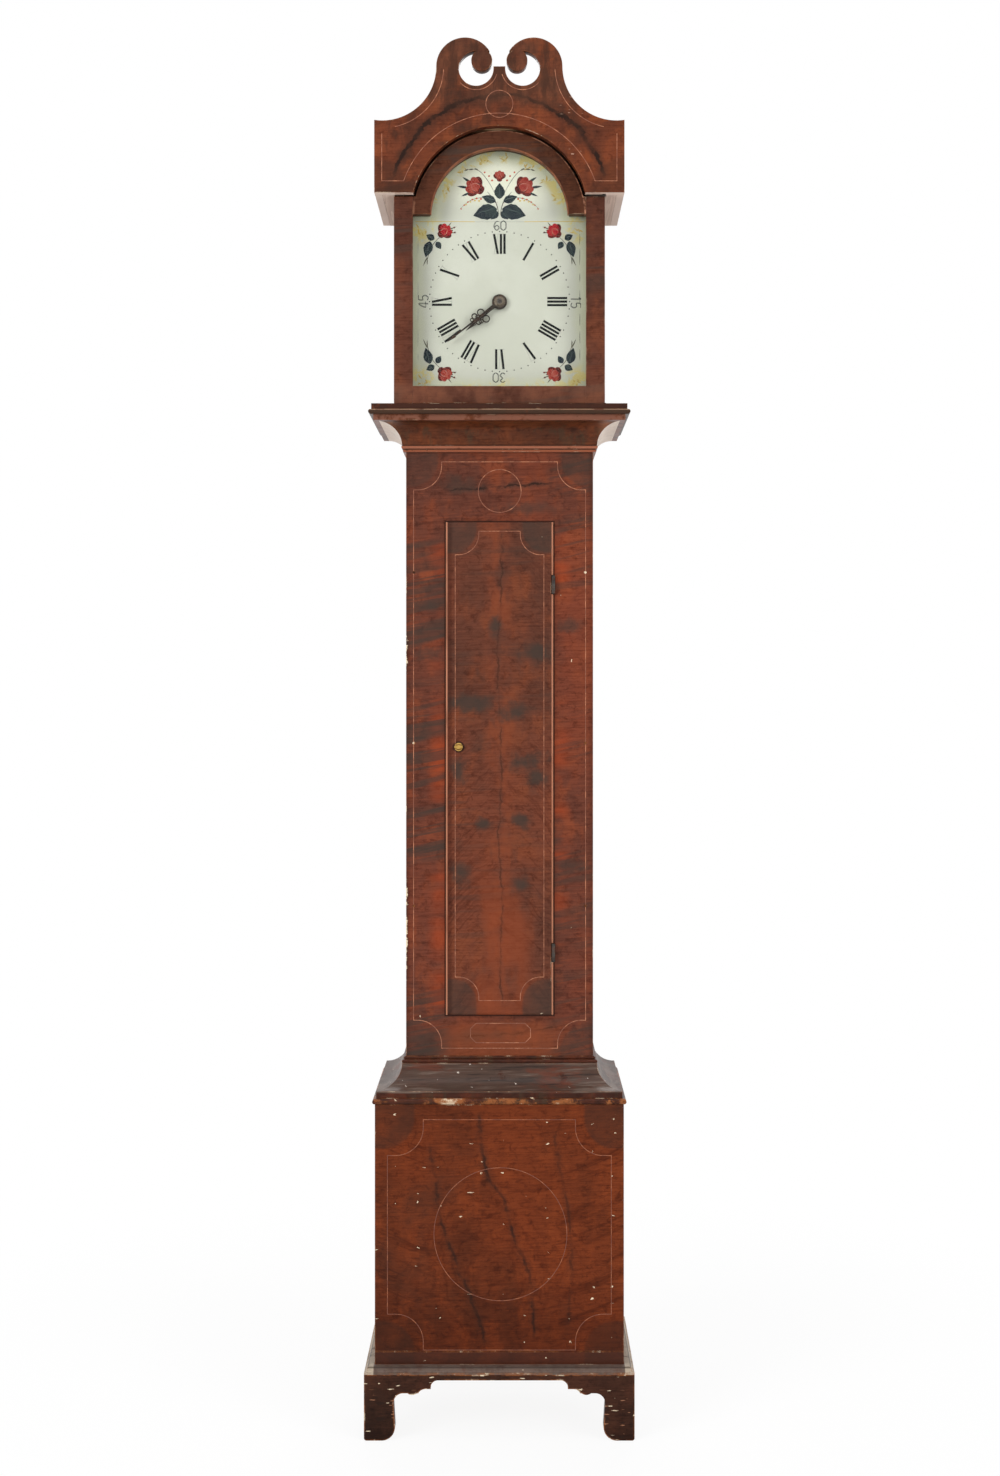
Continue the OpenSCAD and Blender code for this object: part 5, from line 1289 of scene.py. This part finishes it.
# Painted lines on the case

def line_paint(name, bright, dull):
    s = Shader(name)
    worn = s.cloud(70, 5, 0.7)
    tone = s.mix(s.ramp(worn, 0.38, 0.56), bright, dull)
    return s.finish(tone, 0.42, height=worn, bump=0.00005, coat=0.15)


def circle_path(x, z, r, count=96):
    return arc(x, z, r, 0, 360, count)[:-1]


def octagon_path(x0, x1, z0, z1, cut):
    right = [(x1 - cut, z0), (x1, z0 + cut), (x1, z1 - cut), (x1 - cut, z1)]
    left = [(x0 + cut, z1), (x0, z1 - cut), (x0, z0 + cut)]
    return [(x0 + cut, z0)] + right + left


def scroll_lines():
    """The line round the scroll board's corners and the dial's arch, its circle, and the neck lines."""
    mid = ARCH_Z / MM
    start = math.degrees(math.asin((SCROLL_LINE_Z - mid) / SCROLL_LINE_R))
    right = [(SCROLL_LINE_X, SCROLL_LINE_END), (SCROLL_LINE_X, SCROLL_LINE_Z)]
    left = [(-x, z) for x, z in reversed(right)]
    frame_line = right + arc(0, mid, SCROLL_LINE_R, start, 180 - start, 60) + left
    paths = [(frame_line, False), (circle_path(*SCROLL_CIRCLE), True)]
    top = high("scroll_board").z / MM
    necks = [arc(x, top - drop, r, first, last, steps) for x, drop, r, first, last, steps in NECK_ARCS]
    paths += [([(side * x, z) for x, z in line], False) for side in (-1, 1) for line in necks]
    return paths


def add_lines():
    faint = line_paint("line_faint", (154, 88, 52), (104, 52, 33))
    paint = line_paint("line_clear", (182, 118, 84), (124, 70, 48))
    base = [(panel_line(**BASE_LINE), True), (circle_path(*BASE_CIRCLE), True)]
    painted_lines("base_line", base, BASE_Y, "case", faint, 1.0)
    waist = [(panel_line(**WAIST_LINE), True), (circle_path(*WAIST_CIRCLE), True),
        (octagon_path(*OCTAGON), True)]
    painted_lines("waist_line", waist, WAIST_Y, "case", paint, 1.0)
    painted_lines("door_line", [(panel_line(**DOOR_LINE), True)], DOOR_Y, "trunk_door", paint, 0.9)
    painted_lines("scroll_line", scroll_lines(), low("scroll_board").y, "hood", paint, 0.9)


# Cords

def tube_mesh(bm, path, radius, sides=10, lobes=0, twist=0.0):
    """A tube along a path of points in metres, with a lobed and twisted section when asked."""
    rings = []
    count = len(path)
    for i, p in enumerate(path):
        way = (path[min(i + 1, count - 1)] - path[max(i - 1, 0)]).normalized()
        across = Vector((0, 1, 0)) if abs(way.y) < 0.9 else Vector((1, 0, 0))
        u = way.cross(across).normalized()
        v = way.cross(u)
        ring = []
        for k in range(sides):
            t = 2 * math.pi * k / sides
            r = radius * (1 + 0.16 * math.cos(lobes * (t + twist * i)) - (0.16 if lobes else 0))
            ring.append(bm.verts.new(p + u * r * math.cos(t) + v * r * math.sin(t)))
        rings.append(ring)
    for a, b in zip(rings, rings[1:]):
        for k in range(sides):
            bm.faces.new((a[k], a[(k + 1) % sides], b[(k + 1) % sides], b[k]))
    bm.faces.new(rings[0][::-1])
    bm.faces.new(rings[-1])


def cord_paint():
    s = Shader("cord_hemp")
    fibre = s.cloud((900, 900, 500), 3)
    tone = s.mix(s.ramp(fibre, 0.35, 0.65), (190, 172, 132), (146, 124, 88))
    return s.finish(tone, 0.8, height=fibre, bump=0.0001, specular=0.2)


CORD_STEP = 1.6 * MM
DRUM_TURNS = 2.5
TURN_STEPS = 44
TURN_PITCH = 3.3 * MM
TURN_SINK = 0.3 * MM
KNOT_R = 3.6 * MM
KNOT_STEPS = 20
KNOT_ANGLE = math.degrees(0.7)
KNOT_DROP = 12 * MM
KNOT_RISE = 1.1 * MM


def cord_piece(name, path, radius, body, material, sides=8, lobes=0, twist=0.0):
    bm = bmesh.new()
    tube_mesh(bm, path, radius, sides, lobes, twist)
    return piece(name, bm, body, material, smooth=True)


def weight_cords(material):
    """A laid cord for each weight, with a few turns left on its drum and a knot on its eye."""
    for side, train in ((-1, "time"), (1, "strike")):
        node, weight, drum = f"{train}_cord", f"{train}_weight", f"{train}_drum"
        bottom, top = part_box(node)
        x, y = (bottom.x + top.x) / 2, (bottom.y + top.y) / 2
        radius = (top.x - bottom.x) / 2
        length = top.z - bottom.z
        count = int(length / CORD_STEP)
        path = [Vector((x, y, bottom.z + length * i / count)) for i in range(count + 1)]
        cord = cord_piece(f"{weight}_cord", path, radius, "case", material, sides=9, lobes=3, twist=0.24)
        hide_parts(node)
        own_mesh(cord)
        axis = hinge_place(f"{drum}_turn")
        turn_r = side * (abs(x - axis.x) - TURN_SINK)
        coil = []
        for i in range(int(DRUM_TURNS * TURN_STEPS) + 1):
            turns = i / TURN_STEPS
            a = 2 * math.pi * turns
            z = axis.z + abs(turn_r) * math.sin(a)
            coil.append(Vector((axis.x - turn_r * math.cos(a), y + TURN_PITCH * turns, z)))
        cord_piece(f"{drum}_turns", coil, radius * 0.96, drum, material)
        knot = [Vector((*polar(x, y, KNOT_R, KNOT_ANGLE * i), bottom.z - KNOT_DROP + KNOT_RISE * i))
                for i in range(KNOT_STEPS)]
        cord_piece(f"{weight}_knot", knot, radius * 0.9, weight, material)


# Small fittings

NAIL_X = 138.5 * MM
NAIL_R = 2.2 * MM
NAIL_HEIGHTS = (1377, 1101, 838)
NAIL_LIFT = 0.15 * MM
NAIL_DOME = 0.1 * MM
EDGE_WIDTH = 0.7 * MM
EDGE_ANGLE = 38


def nail_heads(material):
    """Filled nail heads down both edges of the waist's front."""
    bm = bmesh.new()
    for side in (-1, 1):
        for z in NAIL_HEIGHTS:
            patch_mesh(bm, circle_path(side * NAIL_X, z * MM, NAIL_R, 10), WAIST_Y, NAIL_LIFT, NAIL_DOME)
    piece("waist_nail_heads", bm, "case", material)


def bevel(*nodes):
    """Takes the sharp edges off CAD boards. The mesh itself stays as packed."""
    for name in nodes:
        made = NODES[name]
        weld = made.modifiers.new("weld", "WELD")
        weld.merge_threshold = 0.00001
        soft = made.modifiers.new("soft_edges", "BEVEL")
        soft.width = EDGE_WIDTH
        soft.segments = 2
        soft.limit_method = "ANGLE"
        soft.angle_limit = math.radians(EDGE_ANGLE)
        soft.use_clamp_overlap = True
        soft.harden_normals = False


def glass_material():
    s = Shader("old_glass")
    s.tree.nodes.remove(s.bsdf)
    wave = s.cloud((14, 14, 9), 2)
    bump = s.add("ShaderNodeBump", {"Height": wave, "Distance": 0.0006, "Strength": 0.5})
    clear = s.add("ShaderNodeBsdfTransparent", {"Color": srgb(252, 252, 252)})
    shine = s.add("ShaderNodeBsdfGlossy", {"Roughness": 0.03, "Normal": bump.outputs[0]})
    facing = s.add("ShaderNodeLayerWeight", {"Blend": 0.5}).outputs["Facing"]
    shiny = s.fma(s.math("POWER", facing, 5.0), 0.9, 0.008)
    both = s.add("ShaderNodeMixShader", {0: shiny, 1: clear.outputs[0], 2: shine.outputs[0]})
    s.tree.links.new(both.outputs[0], s.out.inputs[0])
    return s.material


# Which parts wear which material

def dress_case():
    dress(base_front_paint(), "base_front_panel", "base_bottom_rail")
    dress(base_side_paint(), "base_sides")
    dress(waist_front_paint(), "waist_stiles", "waist_rails")
    dress(waist_side_paint(), "waist_sides")
    dress(door_paint(), "trunk_door")
    dress(scroll_paint(), "scroll_board")
    dress(hood_paint("hood_side_grain", 7.0, raw=True), "hood_sides", "hood_fascias")
    dress(hood_paint("hood_door_grain", 7.4), "hood_door_stiles", "hood_door_bottom_rail")
    arch = hood_paint("hood_arch_grain", 7.8, (84, 48, 33), (94, 54, 34), (70, 40, 27), lit=True)
    dress(arch, "hood_door_arch_rail")
    dress(hood_paint("hood_mask_paint", 8.2, (70, 44, 34), (80, 50, 36), (58, 36, 28)), "hood_mask")
    dress(base_cap_paint(), "base_cap_moulding")
    dress(waist_cap_paint(), "waist_cap_moulding")
    dress(plinth_paint(), "plinth_moulding")
    dress(foot_paint(), "foot_apron_front", "foot_brackets")
    dress(dial_paint(), "dial")
    dress(glass_material(), "hood_door_glass")
    dress(wood("raw_pine", PINE, PINE_DARK, "z", 0.7, 1.0), "backboard", "glue_blocks")
    dress(wood("raw_pine_across", PINE, PINE_DARK, "x", 0.7, 2.0), "base_floor", "waist_packing",
        "hood_roof", "seat_board")
    dress(wood("soffit_pine", SOFFIT, (196, 166, 148), "y", 0.7, 3.0, 0.1), "hood_soffits")


def dress_metal():
    dress(metal("blacked_iron", (70, 66, 62), (44, 40, 38), 0.5, 0.9, 0.3),
        "trunk_hinge_frame_leaves", "trunk_hinge_door_leaves", "hood_pivot_plates", "hood_door_straps",
        "bell_stand", "pendulum_rod")
    dress(metal("filed_iron", (132, 128, 122), (88, 84, 78), 0.42, 1.0, 0.2, 1.0), "verge", "hammer")
    dress(metal("hand_iron", (36, 32, 28), (66, 56, 46), 0.36, 0.75, 0.2, 2.0, (CENTRE, 2.5, 9.5)),
        "hour_hand", "minute_hand")
    dress(metal("knob_brass", (222, 184, 104), (176, 136, 70), 0.26, 1.0, 0.0, 6.0), "trunk_latch")
    dress(metal("old_brass", (186, 146, 66), (128, 96, 46), 0.32, 1.0, 0.0, 3.0), "pendulum_bob",
        "escape_wheel")
    dress(metal("bell_metal", (176, 142, 82), (118, 92, 56), 0.3, 1.0, 0.0, 4.0), "bell")
    dress(metal("weight_iron", (84, 78, 72), (52, 46, 42), 0.55, 0.8, 0.6, 5.0), "time_weight",
        "strike_weight")


def dress_wheels():
    """The wooden plates, drums and wheels. Cores are the radii of their arbors in millimetres."""
    dress(wood("oak_plate", (168, 124, 78), (132, 92, 54), "z", 0.5, 4.0, 0.25),
        "movement_front_plate", "movement_back_plate", "movement_pillars", "pendulum_cock")
    dress(wood("cherry_drum", (160, 104, 66), (124, 76, 46), "y", 0.45, 5.0, 0.2), "time_drum",
        "strike_drum", "hour_wheel", "minute_wheel")
    places = {j["child"]: j["pos_m"] for j in frame["joints"] if j["type"] == "hinge"}
    cores = {"centre_arbor": 4.2, "great_wheel": 5.2, "third_wheel": 3.2, "strike_great_wheel": 5.2,
             "pin_wheel": 3.2, "fly": 2.8}
    for seed, (node, core) in enumerate(cores.items()):
        place = places["minute" if node == "centre_arbor" else node]
        dress(train_wood(f"{node}_wood", place, core * MM, seed * 0.37), node)


# Studio

PHOTO_W = 1000
PHOTO_H = 1476
AXIS_PX = 513.5
HORIZON_PX = 689.3
LENS_PX = 1800
SENSOR = 36.0
CAMERA_PLACE = (0.0225, -2.975, 1.188)
FLOOR_HALF = 40.0
FLOOR_WHITE = (0.9, 0.9, 0.9, 1)
SKY = (0.24, 0.24, 0.24, 1)

# Lamps: name, place, aim, size and power in watts
LAMPS = (
    ("front_left", (-3.1, -2.9, 2.5), (0, 0, 1.1), (2.0, 2.6), 125),
    ("front_right", (3.2, -2.7, 2.1), (0, 0, 1.1), (2.0, 2.6), 92),
    ("overhead", (0, -0.6, 4.2), (0, 0, 0.5), (2.4, 2.4), 50),
    ("behind", (0, 2.6, 3.2), (0, 0, 1.4), (2.4, 1.6), 50),
)


def camera():
    data = bpy.data.cameras.new("camera")
    data.sensor_fit = "VERTICAL"
    data.sensor_height = SENSOR
    data.lens = LENS_PX / PHOTO_H * SENSOR
    data.shift_x = -(AXIS_PX - PHOTO_W / 2) / PHOTO_H
    data.shift_y = -(PHOTO_H / 2 - HORIZON_PX) / PHOTO_H
    made = add_object("camera", data)
    made.location = CAMERA_PLACE
    made.rotation_euler = (math.radians(90), 0, 0)
    bpy.context.scene.camera = made


def lamp(name, place, target, size, power):
    data = bpy.data.lights.new(name, "AREA")
    data.shape = "RECTANGLE"
    data.size, data.size_y = size
    data.energy = power
    made = add_object(name, data)
    made.location = place
    made.rotation_euler = (Vector(target) - Vector(place)).to_track_quat("-Z", "Y").to_euler()


def white_rays(nodes):
    """1 for rays that the camera, metal or glass sends."""
    path = nodes.add("ShaderNodeLightPath", {}).outputs
    seen = nodes.either(path["Is Camera Ray"], path["Is Glossy Ray"])
    return nodes.either(seen, path["Is Transmission Ray"])


def floor():
    """A white floor that keeps a faint shadow near the clock and is pure white further off."""
    data = bpy.data.meshes.new("floor")
    corners = [(x * FLOOR_HALF, y * FLOOR_HALF, 0) for x, y in ((-1, -1), (1, -1), (1, 1), (-1, 1))]
    data.from_pydata(corners, [], [(0, 1, 2, 3)])
    made = add_object("floor", data)
    s = Shader("floor_white")
    s.finish(FLOOR_WHITE, 1.0, specular=0.0)
    glow = s.add("ShaderNodeEmission", {"Color": (1, 1, 1, 1), "Strength": 1.0})
    away = s.length(s.x, s.y)
    share = s.mul(white_rays(s), s.ramp(away, 0.5, 1.4, 0.9, 1.0))
    both = s.add("ShaderNodeMixShader", {0: share, 1: s.bsdf.outputs[0], 2: glow.outputs[0]})
    s.tree.links.new(both.outputs[0], s.out.inputs[0])
    data.materials.append(s.material)


def world():
    made = bpy.data.worlds.new("studio")
    made.use_nodes = True
    nodes = Nodes(made.node_tree)
    soft = nodes.add("ShaderNodeBackground", {0: SKY}).outputs[0]
    white = nodes.add("ShaderNodeBackground", {0: (1, 1, 1, 1)}).outputs[0]
    mixed = nodes.add("ShaderNodeMixShader", {0: white_rays(nodes), 1: soft, 2: white}).outputs[0]
    nodes.add("ShaderNodeOutputWorld", {0: mixed})
    bpy.context.scene.world = made


def studio():
    camera()
    world()
    floor()
    for each in LAMPS:
        lamp(*each)
    bpy.context.scene.view_settings.view_transform = "Standard"


random.seed(7)
dress_case()
dress_metal()
dress_wheels()
bevel("base_front_panel", "base_bottom_rail", "base_sides", "trunk_door", "hood_sides", "scroll_board",
    "hood_fascias", "foot_apron_front", "foot_brackets", "hood_door_stiles", "hood_door_bottom_rail",
    "hood_door_arch_rail")
add_lines()
nail_heads(NODES["foot_apron_front"].data.materials[0])
paint_dial()
weight_cords(cord_paint())
studio()
